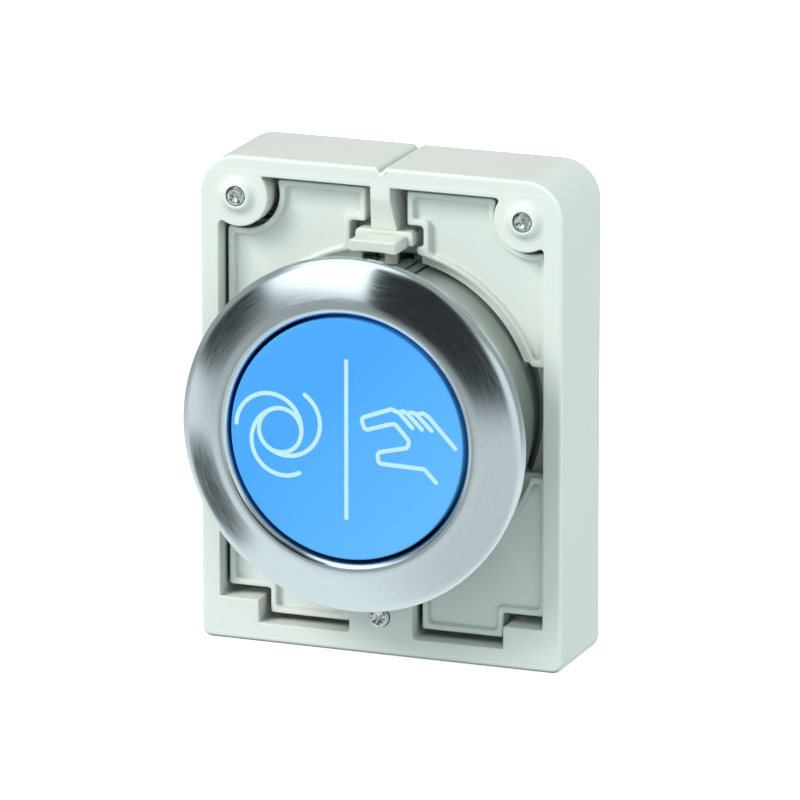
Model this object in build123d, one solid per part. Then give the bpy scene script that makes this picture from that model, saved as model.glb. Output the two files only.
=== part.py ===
from build123d import *
import math
import os

# Flush industrial push-button actuator for a 30.5 mm panel hole, with its rear fixing adapter.
# +X is to the right, +Y runs from the operator into the panel, +Z is up. All sizes are millimetres.
# The origin is on the button axis, in the plane where the bezel seats on the panel.

# Bezel and button, seen by the operator
BEZEL_R = 18.0
BEZEL_EDGE_Y = -0.5
BEZEL_EDGE_MID = (17.74, -0.98)
BEZEL_TURN = (17.0, -1.4)
BEZEL_BULGE = 0.06
BEZEL_CREST_R = 14.2
BEZEL_CREST_Y = -2.4
BEZEL_LIP_R = 12.95
BEZEL_BORE_R = 12.63
BEZEL_BORE_Y = -2.1
COLLAR_R = 13.4
COLLAR_END = 2.0
CAP_R = 12.25
CAP_FACE = -2.25
CAP_THICKNESS = 2.0
CAP_SKIRT_END = 3.0
CAP_SKIRT_R = 11.2
CAP_EDGE_RADIUS = 0.2

# Symbols inlaid in the cap
INLAY_DEPTH = 0.3
STROKE = 0.43
DIVIDER_HALF = 8.15
SWIRL_X = -7.0
SWIRL_Z = 0.3
SWIRL_RING_R = 2.25
SWIRL_ARM_R = 3.45
SWIRL_START = -10
SWIRL_SWEEP = 188
HAND_CORNER_R = 0.4
HAND_OUTLINE = [
    (9.45, -3.45), (8.2, -2.2), (3.38, -2.07), (3.28, -0.97), (6.45, -0.2), (6.62, 0.5),
    (5.15, 2.1), (4.55, 2.0), (1.96, 1.16), (1.54, 2.37), (4.75, 3.57), (5.6, 3.25), (6.95, 1.87),
]
FINGER_LINES = [
    [(5.5, 3.3), (6.0, 3.5), (6.45, 3.25), (7.95, 1.82)],
    [(6.4, 3.3), (7.0, 3.47), (7.45, 3.2), (8.96, 1.79)],
    [(7.4, 3.3), (8.05, 3.48), (8.65, 3.15), (11.45, 0.2)],
]

# Neck that passes through the panel
NECK_R = 15.0
NECK_FRONT = -1.2
NECK_END = 16.8
NECK_BORE_R = 12.55
NECK_REAR_BORE_R = 12.4
GROOVE_Y0 = 12.6
GROOVE_Y1 = 14.3
GROOVE_R = 14.2
WEB_Y0 = 9.5
WEB_Y1 = 11.0
WEB_HOLE_R = 1.5
WEB_HOLE_CIRCLE_R = 10.4
WEB_HOLE_ANGLES = (30, 90, 150, 210, 330)
GUIDE_Y0 = 6.0
GUIDE_Y1 = 13.5
GUIDE_R = 6.0
HUB_R = 4.5
HUB_CLEARANCE = 0.05
KEYWAY_Y0 = 5.0
KEYWAY_HALF = 0.8
KEYWAY_FLOOR = 14.3
SIDE_SLOTS = [(1.8, 2.2), (3.0, 3.4)]
SIDE_SLOT_FLOOR_R = 14.7
POCKET_X = 13.45
POCKET_Y0 = 10.2
POCKET_HALF = 5.5

# Seals
GASKET_R0 = 15.5
GASKET_R1 = 17.0
GASKET_THICKNESS = 0.5
SEAL_Y1 = 3.2
SEAL_LIP_R = 12.3
SEAL_ROOT_R = 12.73
SEAL_LIP_Y0 = 2.3
SEAL_LIP_Y1 = 2.6
O_RING_R = 14.5
O_RING_WIRE = 0.4

# Plunger group
PLUNGER_DISC_Y1 = 1.2
HUB_END = 14.6
HUB_KEY_HALF = 0.6
HUB_KEY_R = 5.3
HUB_KEY_Y0 = 6.5
HUB_KEY_Y1 = 12.8
HUB_KEY_GAP = 0.1
HUB_SCREW_DEPTH = 7.0
CLIP_Y0 = 13.6
CLIP_Y1 = 14.2
CLIP_GROOVE_R = 3.9
CLIP_R = 5.8
CLIP_INNER_R = 4.5
CLIP_MOUTH_HALF = 2.6
CLIP_MOUTH_Z = 2.0
CLIP_LUG_R = 4.8
CLIP_LUG_HALF = 0.9
CLIP_LUG_ANGLES = (30, 150, 270)
BRIDGE_THICKNESS = 1.6
BRIDGE_HALF_LENGTH = 11.6
BRIDGE_HALF_WIDTH = 3.0
BRIDGE_CORNER_R = 1.2
BRIDGE_COLLAR_R = 2.3
PAD_R = 2.0
PAD_HEIGHT = 1.0
CONTACT_PITCH = 9.2
BRIDGE_SCREW_R = 1.2
BRIDGE_SCREW_LENGTH = 6.0
BRIDGE_HEAD_R = 2.2
BRIDGE_HEAD_HEIGHT = 1.0
BRIDGE_RECESS_HALF = 1.3
BRIDGE_RECESS_FLOOR = 0.4
RECESS_HALF_WIDTH = 0.25
SPRING_END_GAP = 0.05
SPRING_R = 8.6
SPRING_WIRE = 0.4
SPRING_TURNS = 4

# Adapter frame
FRAME_FRONT = 6.9
FRAME_REAR = 18.0
FRAME_HALF_WIDTH = 19.2
FRAME_TOP = 25.4
FRAME_BOTTOM = -24.6
BAR = 2.0
TOP_CORNER_R = 4.0
BOTTOM_CORNER_R = 1.0
FRONT_EDGE_R = 0.35
NOTCH_HALF = 0.4
NOTCH_DEPTH = 0.5
STEP_X = 13.05
STEP_Z = -20.25
CENTRE_BLOCK_HALF = 3.35
CENTRE_BLOCK_TOP = -17.65
CENTRE_BLOCK_R = 1.5
WINDOW_CORNER_R = 0.3
BOSS_CORNER_R = 0.4
RAIL_X = 15.92
RAIL_Y0 = 11.5
RAIL_Y1 = 12.65
RAIL_Z0 = -4.7
RAIL_Z1 = 5.2

# Clamp screws, M2, at the two top corners and the bottom centre
SCREW_X = 15.15
SCREW_TOP_Z = 21.35
SCREW_BOTTOM_Z = -20.63
SCREW_PLACES = [(-SCREW_X, SCREW_TOP_Z), (SCREW_X, SCREW_TOP_Z), (0, SCREW_BOTTOM_Z)]
SCREW_R = 0.975
SCREW_BORE_R = 1.03
SCREW_TIP = 6.2
SCREW_HEAD_Y = 20.2
SCREW_HEAD_R = 1.9
SCREW_HEAD_HEIGHT = 1.4
SCREW_TIP_CHAMFER = 0.25
SCREW_RECESS_HALF = 1.1
SCREW_RECESS_DEPTH = 0.8
SCREW_RECESS_HALF_WIDTH = 0.2
BOSS_R = 3.2
DOME_BASE_R = 1.85
DOME_TOP_R = 1.3
DOME_HEIGHT = 0.6
INSERT_R = 1.6
INSERT_Y0 = 8.4
INSERT_Y1 = 12.4
COUNTERBORE_R = 2.2
COUNTERBORE_Y = 15.2

# Tongue hanging from the top bar: it keys the adapter to the neck
STEM_HALF = 1.05
STEM_FOOT_HALF = 1.4
STEM_REAR = 10.6
STEM_KINK_Z = 22.1
CROSS_TOP = 18.85
CROSS_HALF = 3.06
CROSS_FRONT = 8.0
CROSS_CORNER_R = 0.5
NIB_HALF = 2.43
NIB_FRONT = 4.8
NIB_TOP = 18.45
NIB_UNDER_R = 17.35
KEY_HALF = 0.65
KEY_FRONT = 9.9
KEY_BOTTOM = 14.9

# Sliding latch plate
LATCH_FRONT = 8.6
LATCH_FIELD = 9.3
LATCH_WALL_Y = 10.5
LATCH_LEDGE_Y0 = 10.15
LATCH_LEDGE_Y1 = 10.7
LATCH_LEDGE_ROOT = 0.3
LATCH_WEB_Y0 = 12.75
LATCH_WEB_Y1 = 14.15
LATCH_HALF_WIDTH = 16.92
LATCH_TOP = 22.9
LATCH_BOTTOM = -21.95
LATCH_STEP_X = 12.45
LATCH_STEP_Z = -19.4
LATCH_BLOCK_HALF = 3.8
LATCH_BLOCK_Z = -16.9
LATCH_ARC_R = 3.75
LATCH_OPENING_R = 16.3
LATCH_RISE = 0.5
LATCH_HOLE_R = 15.1
LATCH_NECK_GAP = 0.1
LATCH_SIDE_HALF = 5.65
LIP = 0.66
OPENING_LIP = 0.5
SLOT_NARROW = 2.2
SLOT_WIDE = 3.9
SLOT_THROAT = 3.2
SLOT_SHOULDER = 19.4
SLOT_FOOT = 17.3
LATCH_SPRING_X = 8.2
LATCH_SPRING_Y = 11.62
LATCH_SPRING_R = 0.75
LATCH_SPRING_WIRE = 0.18
LATCH_SPRING_TOP = -17.6
LATCH_SPRING_TURNS = 6
LATCH_SEAT_HALF = 1.5
LATCH_SEAT_HEIGHT = 0.9
LATCH_CHANNEL_R = 1.08
LATCH_SLOT_R = 0.4

# Rear carrier for the contact blocks
CARRIER_FRONT = 14.3
CARRIER_GAP = 0.05
CARRIER_OPENING_R = 12.6
HOOK_Z = 15.4
HOOK_REAR = 22.0
HOOK_HALF = 2.2
HOOK_ARM = 1.2
HOOK_BARB = 1.2
SNAP_Z = 13.0
SNAP_HALF = 2.0
SNAP_Y0 = 15.6
SNAP_Y1 = 16.6
SNAP_DEPTH = 0.5
SNAP_GAP = 0.1

BIG = 60.0


def prism(face, y0, y1):
    """Solid between two depths, from a face drawn with x to the right and y up."""
    plane = Plane(origin=(0, y1, 0), x_dir=(1, 0, 0), z_dir=(0, -1, 0))
    return extrude(plane * face, amount=y1 - y0)


def rectangle(x0, x1, z0, z1):
    return Pos((x0 + x1) / 2, (z0 + z1) / 2) * Rectangle(x1 - x0, z1 - z0)


def block(x0, x1, y0, y1, z0, z1):
    return Pos((x0 + x1) / 2, (y0 + y1) / 2, (z0 + z1) / 2) * Box(x1 - x0, y1 - y0, z1 - z0)


def tube(r0, r1, y0, y1, x=0.0, z=0.0):
    face = Pos(x, z) * (Circle(r1) - Circle(r0)) if r0 > 0 else Pos(x, z) * Circle(r1)
    return prism(face, y0, y1)


def turned(points, x=0.0, z=0.0):
    """Solid of revolution about the line through (x, z) parallel to +Y, from (radius, y) points."""
    face = make_face(Polyline(*points, close=True))
    return Pos(x, 0, z) * revolve(face, axis=Axis.Y)


def mirrored(part):
    return part + mirror(part, about=Plane.YZ)


def side_rectangle(side, x0, x1, z0, z1):
    """Rectangle at x0..x1 on the right (side 1), or mirrored to the left (side -1)."""
    return rectangle(min(side * x0, side * x1), max(side * x0, side * x1), z0, z1)


def side_block(side, x0, x1, y0, y1, z0, z1):
    return block(min(side * x0, side * x1), max(side * x0, side * x1), y0, y1, z0, z1)


def coil(radius, wire, turns, length):
    """Coil spring around +Z, its wire centre from z = 0 to z = length."""
    path = Helix(pitch=length / turns, height=length, radius=radius)
    section = Plane(origin=path @ 0, z_dir=path % 0) * Circle(wire)
    return sweep(section, path=path)


def save(part, name):
    export_step(part, "parts/" + name + ".step")


# ---- front element ----

def bezel_ring():
    """Ring with a rounded outer edge and a nearly straight flank up to the crest."""
    mid_r = (BEZEL_TURN[0] + BEZEL_CREST_R) / 2
    mid_y = (BEZEL_TURN[1] + BEZEL_CREST_Y) / 2 - BEZEL_BULGE
    outline = [
        Line((BEZEL_R, 0), (BEZEL_R, BEZEL_EDGE_Y)),
        ThreePointArc((BEZEL_R, BEZEL_EDGE_Y), BEZEL_EDGE_MID, BEZEL_TURN),
        ThreePointArc(BEZEL_TURN, (mid_r, mid_y), (BEZEL_CREST_R, BEZEL_CREST_Y)),
        Line((BEZEL_CREST_R, BEZEL_CREST_Y), (BEZEL_LIP_R, BEZEL_CREST_Y)),
        Line((BEZEL_LIP_R, BEZEL_CREST_Y), (BEZEL_BORE_R, BEZEL_BORE_Y)),
        Line((BEZEL_BORE_R, BEZEL_BORE_Y), (BEZEL_BORE_R, COLLAR_END)),
        Line((BEZEL_BORE_R, COLLAR_END), (COLLAR_R, COLLAR_END)),
        Line((COLLAR_R, COLLAR_END), (COLLAR_R, NECK_FRONT)),
        Line((COLLAR_R, NECK_FRONT), (GASKET_R0, NECK_FRONT)),
        Line((GASKET_R0, NECK_FRONT), (GASKET_R0, -GASKET_THICKNESS)),
        Line((GASKET_R0, -GASKET_THICKNESS), (GASKET_R1, -GASKET_THICKNESS)),
        Line((GASKET_R1, -GASKET_THICKNESS), (GASKET_R1, 0)),
        Line((GASKET_R1, 0), (BEZEL_R, 0)),
    ]
    return revolve(make_face(outline), axis=Axis.Y)


def neck_body():
    shell = turned([
        (COLLAR_R, NECK_FRONT), (NECK_R, NECK_FRONT), (NECK_R, GROOVE_Y0),
        (GROOVE_R, GROOVE_Y0), (GROOVE_R, GROOVE_Y1), (NECK_R, GROOVE_Y1), (NECK_R, NECK_END),
        (NECK_REAR_BORE_R, NECK_END), (NECK_REAR_BORE_R, WEB_Y0), (NECK_BORE_R, WEB_Y0),
        (NECK_BORE_R, SEAL_Y1), (COLLAR_R, SEAL_Y1),
    ])
    web = tube(GUIDE_R - 0.5, NECK_BORE_R + 0.5, WEB_Y0, WEB_Y1)
    guide = tube(HUB_R + HUB_CLEARANCE, GUIDE_R, GUIDE_Y0, GUIDE_Y1)
    body = shell + web + guide
    for angle in WEB_HOLE_ANGLES:
        x = WEB_HOLE_CIRCLE_R * math.cos(math.radians(angle))
        z = WEB_HOLE_CIRCLE_R * math.sin(math.radians(angle))
        body -= tube(0, WEB_HOLE_R, WEB_Y0 - 1, WEB_Y1 + 1, x, z)
    slot_half = HUB_KEY_HALF + HUB_KEY_GAP
    body -= block(-slot_half, slot_half, GUIDE_Y0 - 1, GUIDE_Y1 + 1, -HUB_KEY_R - 0.15, -HUB_R + 0.5)
    groove_wire = O_RING_WIRE + 0.02
    body -= tube(O_RING_R - groove_wire, O_RING_R + groove_wire, NECK_FRONT, NECK_FRONT + 2 * groove_wire)
    body -= block(-KEYWAY_HALF, KEYWAY_HALF, KEYWAY_Y0, NECK_END + 1, KEYWAY_FLOOR, NECK_R + 1)
    skin = tube(SIDE_SLOT_FLOOR_R, NECK_R + 1, KEYWAY_Y0, NECK_END + 1)
    for side in (-1, 1):
        for x0, x1 in SIDE_SLOTS:
            body -= skin & side_block(side, x0, x1, KEYWAY_Y0, NECK_END + 1, 0, NECK_R + 1)
        body -= side_block(side, POCKET_X, NECK_R + 1, POCKET_Y0, GROOVE_Y0, -POCKET_HALF, POCKET_HALF)
    return body


def panel_gasket():
    return tube(GASKET_R0, GASKET_R1, -GASKET_THICKNESS, 0)


def bezel_o_ring():
    centre = Pos(O_RING_R, NECK_FRONT + O_RING_WIRE + 0.01)
    return revolve(centre * Circle(O_RING_WIRE), axis=Axis.Y)


def lip_seal():
    return turned([
        (COLLAR_R, COLLAR_END), (COLLAR_R, SEAL_Y1), (SEAL_ROOT_R, SEAL_Y1),
        (SEAL_LIP_R, SEAL_LIP_Y1), (SEAL_LIP_R, SEAL_LIP_Y0), (SEAL_ROOT_R, COLLAR_END),
    ])


# ---- symbols: drawn in the cap's plane, x to the right and y up ----

def stroke_line(points, radius):
    """Constant-width stroke with round ends along the points, its corners rounded."""
    pieces = []
    for edge in FilletPolyline(*points, radius=radius).edges():
        if edge.geom_type == GeomType.LINE:
            run = edge @ 1 - edge @ 0
            angle = math.degrees(math.atan2(run.Y, run.X))
            middle = edge @ 0.5
            slot = SlotCenterToCenter(edge.length, STROKE)
            pieces.append(Pos(middle.X, middle.Y) * Rot(0, 0, angle) * slot)
        else:
            pieces.append(SlotArc(edge, STROKE))
    face = pieces[0]
    for piece in pieces[1:]:
        face += piece
    return face


def divider_face():
    return Rectangle(STROKE, 2 * DIVIDER_HALF)


def swirl_face():
    """A ring with three arms, each an arc that leaves the ring along its tangent."""
    face = Circle(SWIRL_RING_R + STROKE / 2) - Circle(SWIRL_RING_R - STROKE / 2)
    offset_r = SWIRL_ARM_R - SWIRL_RING_R
    for arm in range(3):
        start = SWIRL_START + 120 * arm
        turn = math.radians(start)
        centre = (-offset_r * math.cos(turn), -offset_r * math.sin(turn))
        face += SlotArc(CenterArc(centre, SWIRL_ARM_R, start, SWIRL_SWEEP), STROKE)
    return Pos(SWIRL_X, SWIRL_Z) * face


def hand_face():
    """Outline of a hand that grips from the right, with three finger lines."""
    face = stroke_line(HAND_OUTLINE, HAND_CORNER_R)
    for line in FINGER_LINES:
        face += stroke_line(line, HAND_CORNER_R)
    return face


def inlay(face):
    return prism(face, CAP_FACE, CAP_FACE + INLAY_DEPTH)


def button_cap(inlays):
    body = tube(0, CAP_R, CAP_FACE, CAP_FACE + CAP_THICKNESS)
    body += tube(CAP_SKIRT_R, CAP_R, CAP_FACE + CAP_THICKNESS, CAP_SKIRT_END)
    rim = body.edges().filter_by(GeomType.CIRCLE).group_by(Axis.Y)[0]
    body = fillet(rim, CAP_EDGE_RADIUS)
    for piece in inlays:
        body -= piece
    return body


# ---- plunger group ----

def plunger():
    disc_y0 = CAP_FACE + CAP_THICKNESS
    body = tube(0, CAP_SKIRT_R, disc_y0, PLUNGER_DISC_Y1)
    body += tube(0, HUB_R, PLUNGER_DISC_Y1, HUB_END)
    body -= tube(CLIP_GROOVE_R, HUB_R + 1, CLIP_Y0, CLIP_Y1)
    body += block(-HUB_KEY_HALF, HUB_KEY_HALF, HUB_KEY_Y0, HUB_KEY_Y1, -HUB_KEY_R, -HUB_R + 0.3)
    body -= tube(0, BRIDGE_SCREW_R, HUB_END - HUB_SCREW_DEPTH, HUB_END)
    return body


def retaining_ring():
    """Open E-shaped ring: three lugs reach into the hub's groove."""
    ring = tube(CLIP_INNER_R, CLIP_R, CLIP_Y0, CLIP_Y1)
    for angle in CLIP_LUG_ANGLES:
        lug = block(CLIP_GROOVE_R - 1, CLIP_LUG_R, CLIP_Y0, CLIP_Y1, -CLIP_LUG_HALF, CLIP_LUG_HALF)
        ring += Rot(0, -angle, 0) * lug
    ring -= tube(0, CLIP_GROOVE_R, CLIP_Y0 - 1, CLIP_Y1 + 1)
    return ring - block(-CLIP_MOUTH_HALF, CLIP_MOUTH_HALF, CLIP_Y0 - 1, CLIP_Y1 + 1, CLIP_MOUTH_Z, CLIP_R + 1)


def push_bridge():
    y0 = HUB_END
    y1 = y0 + BRIDGE_THICKNESS
    plate = RectangleRounded(2 * BRIDGE_HALF_LENGTH, 2 * BRIDGE_HALF_WIDTH, BRIDGE_CORNER_R)
    bar = prism(plate, y0, y1)
    for side in (-1, 1):
        bar += tube(0, PAD_R, y1, y1 + PAD_HEIGHT, side * CONTACT_PITCH)
    bar += tube(BRIDGE_COLLAR_R, BRIDGE_HALF_WIDTH, y1, y1 + PAD_HEIGHT)
    return bar - tube(0, BRIDGE_SCREW_R, y0 - 1, y1 + 1)


def bridge_screw():
    head_y = HUB_END + BRIDGE_THICKNESS
    head_end = head_y + BRIDGE_HEAD_HEIGHT
    body = tube(0, BRIDGE_SCREW_R, HUB_END - BRIDGE_SCREW_LENGTH, head_y)
    body += tube(0, BRIDGE_HEAD_R, head_y, head_end)
    slot = block(-BRIDGE_RECESS_HALF, BRIDGE_RECESS_HALF, head_y + BRIDGE_RECESS_FLOOR, head_end + 1,
                 -RECESS_HALF_WIDTH, RECESS_HALF_WIDTH)
    return body - slot - Rot(0, 90, 0) * slot


def return_spring():
    y0 = PLUNGER_DISC_Y1 + SPRING_WIRE + SPRING_END_GAP
    y1 = WEB_Y0 - SPRING_WIRE - SPRING_END_GAP
    spring = coil(SPRING_R, SPRING_WIRE, SPRING_TURNS, y1 - y0)
    return Pos(0, y0, 0) * Rot(-90, 0, 0) * spring


# ---- adapter ----

def frame_outline():
    half = FRAME_HALF_WIDTH
    face = rectangle(-half, half, FRAME_BOTTOM, FRAME_TOP)
    top = face.vertices().group_by(Axis.Y)[-1]
    face = fillet(top, TOP_CORNER_R)
    bottom = face.vertices().group_by(Axis.Y)[0]
    return fillet(bottom, BOTTOM_CORNER_R)


def frame_window():
    """Opening inside the bars: bosses in the top corners, steps and a centre block at the bottom."""
    half = FRAME_HALF_WIDTH - BAR
    top = FRAME_TOP - BAR
    bottom = FRAME_BOTTOM + BAR
    face = rectangle(-half, half, bottom, top)
    for side in (-1, 1):
        boss = Pos(side * SCREW_X, SCREW_TOP_Z) * Circle(BOSS_R)
        face -= boss + side_rectangle(side, SCREW_X, half, SCREW_TOP_Z, top)
        face -= side_rectangle(side, STEP_X, half, bottom, STEP_Z)
    centre = rectangle(-CENTRE_BLOCK_HALF, CENTRE_BLOCK_HALF, bottom - 1, CENTRE_BLOCK_TOP)
    centre = fillet(centre.vertices().group_by(Axis.Y)[-1], CENTRE_BLOCK_R)
    face -= centre
    low_corners = [corner for corner in face.vertices() if corner.Y < STEP_Z + 0.01]
    face = fillet(low_corners, WINDOW_CORNER_R)
    boss_corners = [corner for corner in face.vertices() if corner.Y > SCREW_TOP_Z - BOSS_R]
    return fillet(boss_corners, BOSS_CORNER_R)


def tongue():
    top = FRAME_TOP - BAR
    front = FRAME_FRONT
    stem = block(-STEM_HALF, STEM_HALF, front, STEM_REAR, STEM_KINK_Z, top + 0.2)
    upper = Plane.XY.offset(STEM_KINK_Z) * rectangle(-STEM_HALF, STEM_HALF, front, STEM_REAR)
    foot_z = CROSS_TOP - 0.2
    lower = Plane.XY.offset(foot_z) * rectangle(-STEM_FOOT_HALF, STEM_FOOT_HALF, CROSS_FRONT, STEM_REAR)
    stem += loft([lower, upper])
    cross = prism(rectangle(-CROSS_HALF, CROSS_HALF, SLOT_FOOT + 0.1, CROSS_TOP), CROSS_FRONT, STEM_REAR)
    cross = fillet(cross.edges().filter_by(Axis.Y).group_by(Axis.Z)[-1], CROSS_CORNER_R)
    key = block(-KEY_HALF, KEY_HALF, KEY_FRONT, STEM_REAR, KEY_BOTTOM, CROSS_TOP - 0.5)
    nib_face = rectangle(-NIB_HALF, NIB_HALF, NIB_UNDER_R - 0.6, NIB_TOP) - Circle(NIB_UNDER_R)
    nib = prism(nib_face, NIB_FRONT, CROSS_FRONT + 0.3)
    return stem + cross + key + nib


def screw_dome(x, z):
    """Low dome around a top clamp screw, standing on the frame's front."""
    top = FRAME_FRONT - DOME_HEIGHT
    root = FRAME_FRONT + 0.5
    points = [(0, root), (DOME_BASE_R, root), (DOME_BASE_R, FRAME_FRONT), (DOME_TOP_R + 0.15, top + 0.2),
              (DOME_TOP_R, top), (0, top)]
    return turned(points, x, z)


def adapter_frame():
    body = prism(frame_outline(), FRAME_FRONT, FRAME_REAR)
    front_edges = body.edges().group_by(Axis.Y)[0]
    body = fillet(front_edges, FRONT_EDGE_R)
    body -= prism(frame_window(), FRAME_FRONT - 1, FRAME_REAR + 1)
    notch_points = [(-NOTCH_HALF, FRAME_TOP), (0, FRAME_TOP - NOTCH_DEPTH), (NOTCH_HALF, FRAME_TOP)]
    notch = make_face(Polyline(*notch_points, close=True))
    body -= prism(notch, FRAME_FRONT - 1, FRAME_REAR + 1)
    body += tongue()
    body += mirrored(screw_dome(SCREW_X, SCREW_TOP_Z))
    for x, z in SCREW_PLACES:
        body -= tube(0, SCREW_BORE_R, FRAME_FRONT - 2, FRAME_REAR + 1, x, z)
        body -= tube(0, INSERT_R, INSERT_Y0, INSERT_Y1, x, z)
        body -= tube(0, COUNTERBORE_R, COUNTERBORE_Y, FRAME_REAR + 1, x, z)
    inner = FRAME_HALF_WIDTH - BAR
    body += mirrored(block(RAIL_X, inner + 0.2, RAIL_Y0, RAIL_Y1, RAIL_Z0, RAIL_Z1))
    half = SNAP_HALF + SNAP_GAP
    depth = SNAP_DEPTH + SNAP_GAP
    for z in (-SNAP_Z, SNAP_Z):
        pocket = block(inner - 1, inner + depth, SNAP_Y0 - SNAP_GAP, SNAP_Y1 + SNAP_GAP, z - half, z + half)
        body -= mirrored(pocket)
    return body


def latch_outline(with_slot):
    """The plate's edge at rest: raised by LATCH_RISE above its released place."""
    half = LATCH_HALF_WIDTH
    face = rectangle(-half, half, LATCH_BOTTOM, LATCH_TOP)
    for side in (-1, 1):
        face -= Pos(side * SCREW_X, SCREW_TOP_Z) * Circle(LATCH_ARC_R)
        face -= side_rectangle(side, SCREW_X, half + 1, SCREW_TOP_Z, LATCH_TOP + 1)
        face -= side_rectangle(side, LATCH_STEP_X, half + 1, LATCH_BOTTOM - 1, LATCH_STEP_Z)
    face -= rectangle(-LATCH_BLOCK_HALF, LATCH_BLOCK_HALF, LATCH_BOTTOM - 1, LATCH_BLOCK_Z)
    if with_slot:
        face -= rectangle(-SLOT_NARROW, SLOT_NARROW, SLOT_SHOULDER - 0.5, LATCH_TOP + 1)
        wide = rectangle(-SLOT_WIDE, SLOT_WIDE, SLOT_FOOT, SLOT_SHOULDER)
        face -= fillet(wide.vertices(), LATCH_SLOT_R)
        face -= rectangle(-SLOT_THROAT, SLOT_THROAT, LATCH_OPENING_R - 2, SLOT_FOOT + 0.5)
    return face


def latch_front_face():
    opening = Pos(0, LATCH_RISE) * Circle(LATCH_OPENING_R)
    sides = rectangle(-BIG, BIG, LATCH_RISE - LATCH_SIDE_HALF, LATCH_RISE + LATCH_SIDE_HALF)
    return latch_outline(True) - opening - sides


def neck_passage():
    """Room for the neck at both ends of the plate's travel."""
    r = NECK_R + LATCH_NECK_GAP
    raised = Pos(0, LATCH_RISE) * Circle(r)
    return Circle(r) + raised + Pos(0, LATCH_RISE / 2) * Rectangle(2 * r, LATCH_RISE)


def latch_plate():
    face = latch_front_face()
    body = prism(face, LATCH_FRONT, LATCH_WALL_Y)
    field = offset(latch_outline(True), -LIP, kind=Kind.ARC)
    sides = rectangle(-BIG, BIG, LATCH_RISE - LATCH_SIDE_HALF - LIP, LATCH_RISE + LATCH_SIDE_HALF + LIP)
    field = field - Pos(0, LATCH_RISE) * Circle(LATCH_OPENING_R + OPENING_LIP) - sides
    body -= prism(field, LATCH_FRONT - 1, LATCH_FIELD)
    outer = latch_outline(False)
    ring = outer - offset(outer, -LIP, kind=Kind.ARC)
    window = rectangle(-BIG, BIG, LATCH_RISE - LATCH_SIDE_HALF, LATCH_RISE + LATCH_SIDE_HALF)
    tongue_gap = rectangle(-SLOT_WIDE, SLOT_WIDE, SLOT_FOOT, LATCH_TOP + 1)
    ledge = Pos(0, LATCH_RISE) * Circle(LATCH_OPENING_R + LATCH_LEDGE_ROOT) & latch_outline(True)
    body += prism(ledge - neck_passage() - window, LATCH_LEDGE_Y0, LATCH_LEDGE_Y1)
    body += prism(ring - window - tongue_gap, LATCH_WALL_Y, LATCH_WEB_Y0)
    hole = Pos(0, LATCH_RISE) * Circle(LATCH_HOLE_R)
    body += prism(outer - hole, LATCH_WEB_Y0, LATCH_WEB_Y1)
    seat_top = LATCH_SPRING_TOP + LATCH_SEAT_HEIGHT
    for x in (-LATCH_SPRING_X, LATCH_SPRING_X):
        half = LATCH_SEAT_HALF
        seat = block(-half, half, LATCH_WALL_Y, LATCH_WEB_Y0, LATCH_SPRING_TOP, seat_top)
        body += Pos(x, 0, 0) * seat
        body -= Pos(x, LATCH_SPRING_Y, LATCH_BOTTOM) * Cylinder(LATCH_CHANNEL_R, 4)
    return body


def latch_springs():
    floor = FRAME_BOTTOM + BAR
    z0 = floor + LATCH_SPRING_WIRE + 0.03
    z1 = LATCH_SPRING_TOP - LATCH_SPRING_WIRE - 0.03
    springs = []
    for x in (-LATCH_SPRING_X, LATCH_SPRING_X):
        spring = coil(LATCH_SPRING_R, LATCH_SPRING_WIRE, LATCH_SPRING_TURNS, z1 - z0)
        springs.append(Pos(x, LATCH_SPRING_Y, z0) * spring)
    return Compound(children=springs)


def clamp_screw(x, z):
    head_end = SCREW_HEAD_Y + SCREW_HEAD_HEIGHT
    chamfer_end = SCREW_TIP + SCREW_TIP_CHAMFER
    body = turned([
        (0, SCREW_TIP), (SCREW_R - SCREW_TIP_CHAMFER, SCREW_TIP), (SCREW_R, chamfer_end),
        (SCREW_R, SCREW_HEAD_Y),
        (SCREW_HEAD_R, SCREW_HEAD_Y), (SCREW_HEAD_R, head_end - 0.5), (SCREW_HEAD_R - 0.4, head_end),
        (0, head_end),
    ])
    slot = block(-SCREW_RECESS_HALF, SCREW_RECESS_HALF, head_end - SCREW_RECESS_DEPTH, head_end + 1,
                 -SCREW_RECESS_HALF_WIDTH, SCREW_RECESS_HALF_WIDTH)
    return Pos(x, 0, z) * (body - slot - Rot(0, 90, 0) * slot)


def thread_inserts():
    inserts = []
    for x, z in SCREW_PLACES:
        inserts.append(tube(SCREW_BORE_R, INSERT_R, INSERT_Y0, INSERT_Y1, x, z))
    return Compound(children=inserts)


def upper_hook(x):
    """Rigid hook with a square barb, at the top of a contact block."""
    x0 = x - HOOK_HALF
    x1 = x + HOOK_HALF
    arm = block(x0, x1, FRAME_REAR - 0.5, HOOK_REAR, HOOK_Z, HOOK_Z + HOOK_ARM)
    return arm + block(x0, x1, HOOK_REAR - HOOK_BARB, HOOK_REAR, HOOK_Z - 1.0, HOOK_Z + 0.5)


def lower_hook(x):
    """Springy hook with a sloped barb, at the foot of a contact block."""
    arm = block(x - HOOK_HALF, x + HOOK_HALF, FRAME_REAR - 0.5, HOOK_REAR, -HOOK_Z - 1.0, -HOOK_Z)
    points = [(-HOOK_Z - 0.2, HOOK_REAR - 1.4), (-HOOK_Z + 0.9, HOOK_REAR - 1.4), (-HOOK_Z - 0.2, HOOK_REAR)]
    side = Plane(origin=(x - HOOK_HALF, 0, 0), x_dir=(0, 0, 1), z_dir=(-1, 0, 0))
    return arm + extrude(side * make_face(Polyline(*points, close=True)), amount=-2 * HOOK_HALF)


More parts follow.
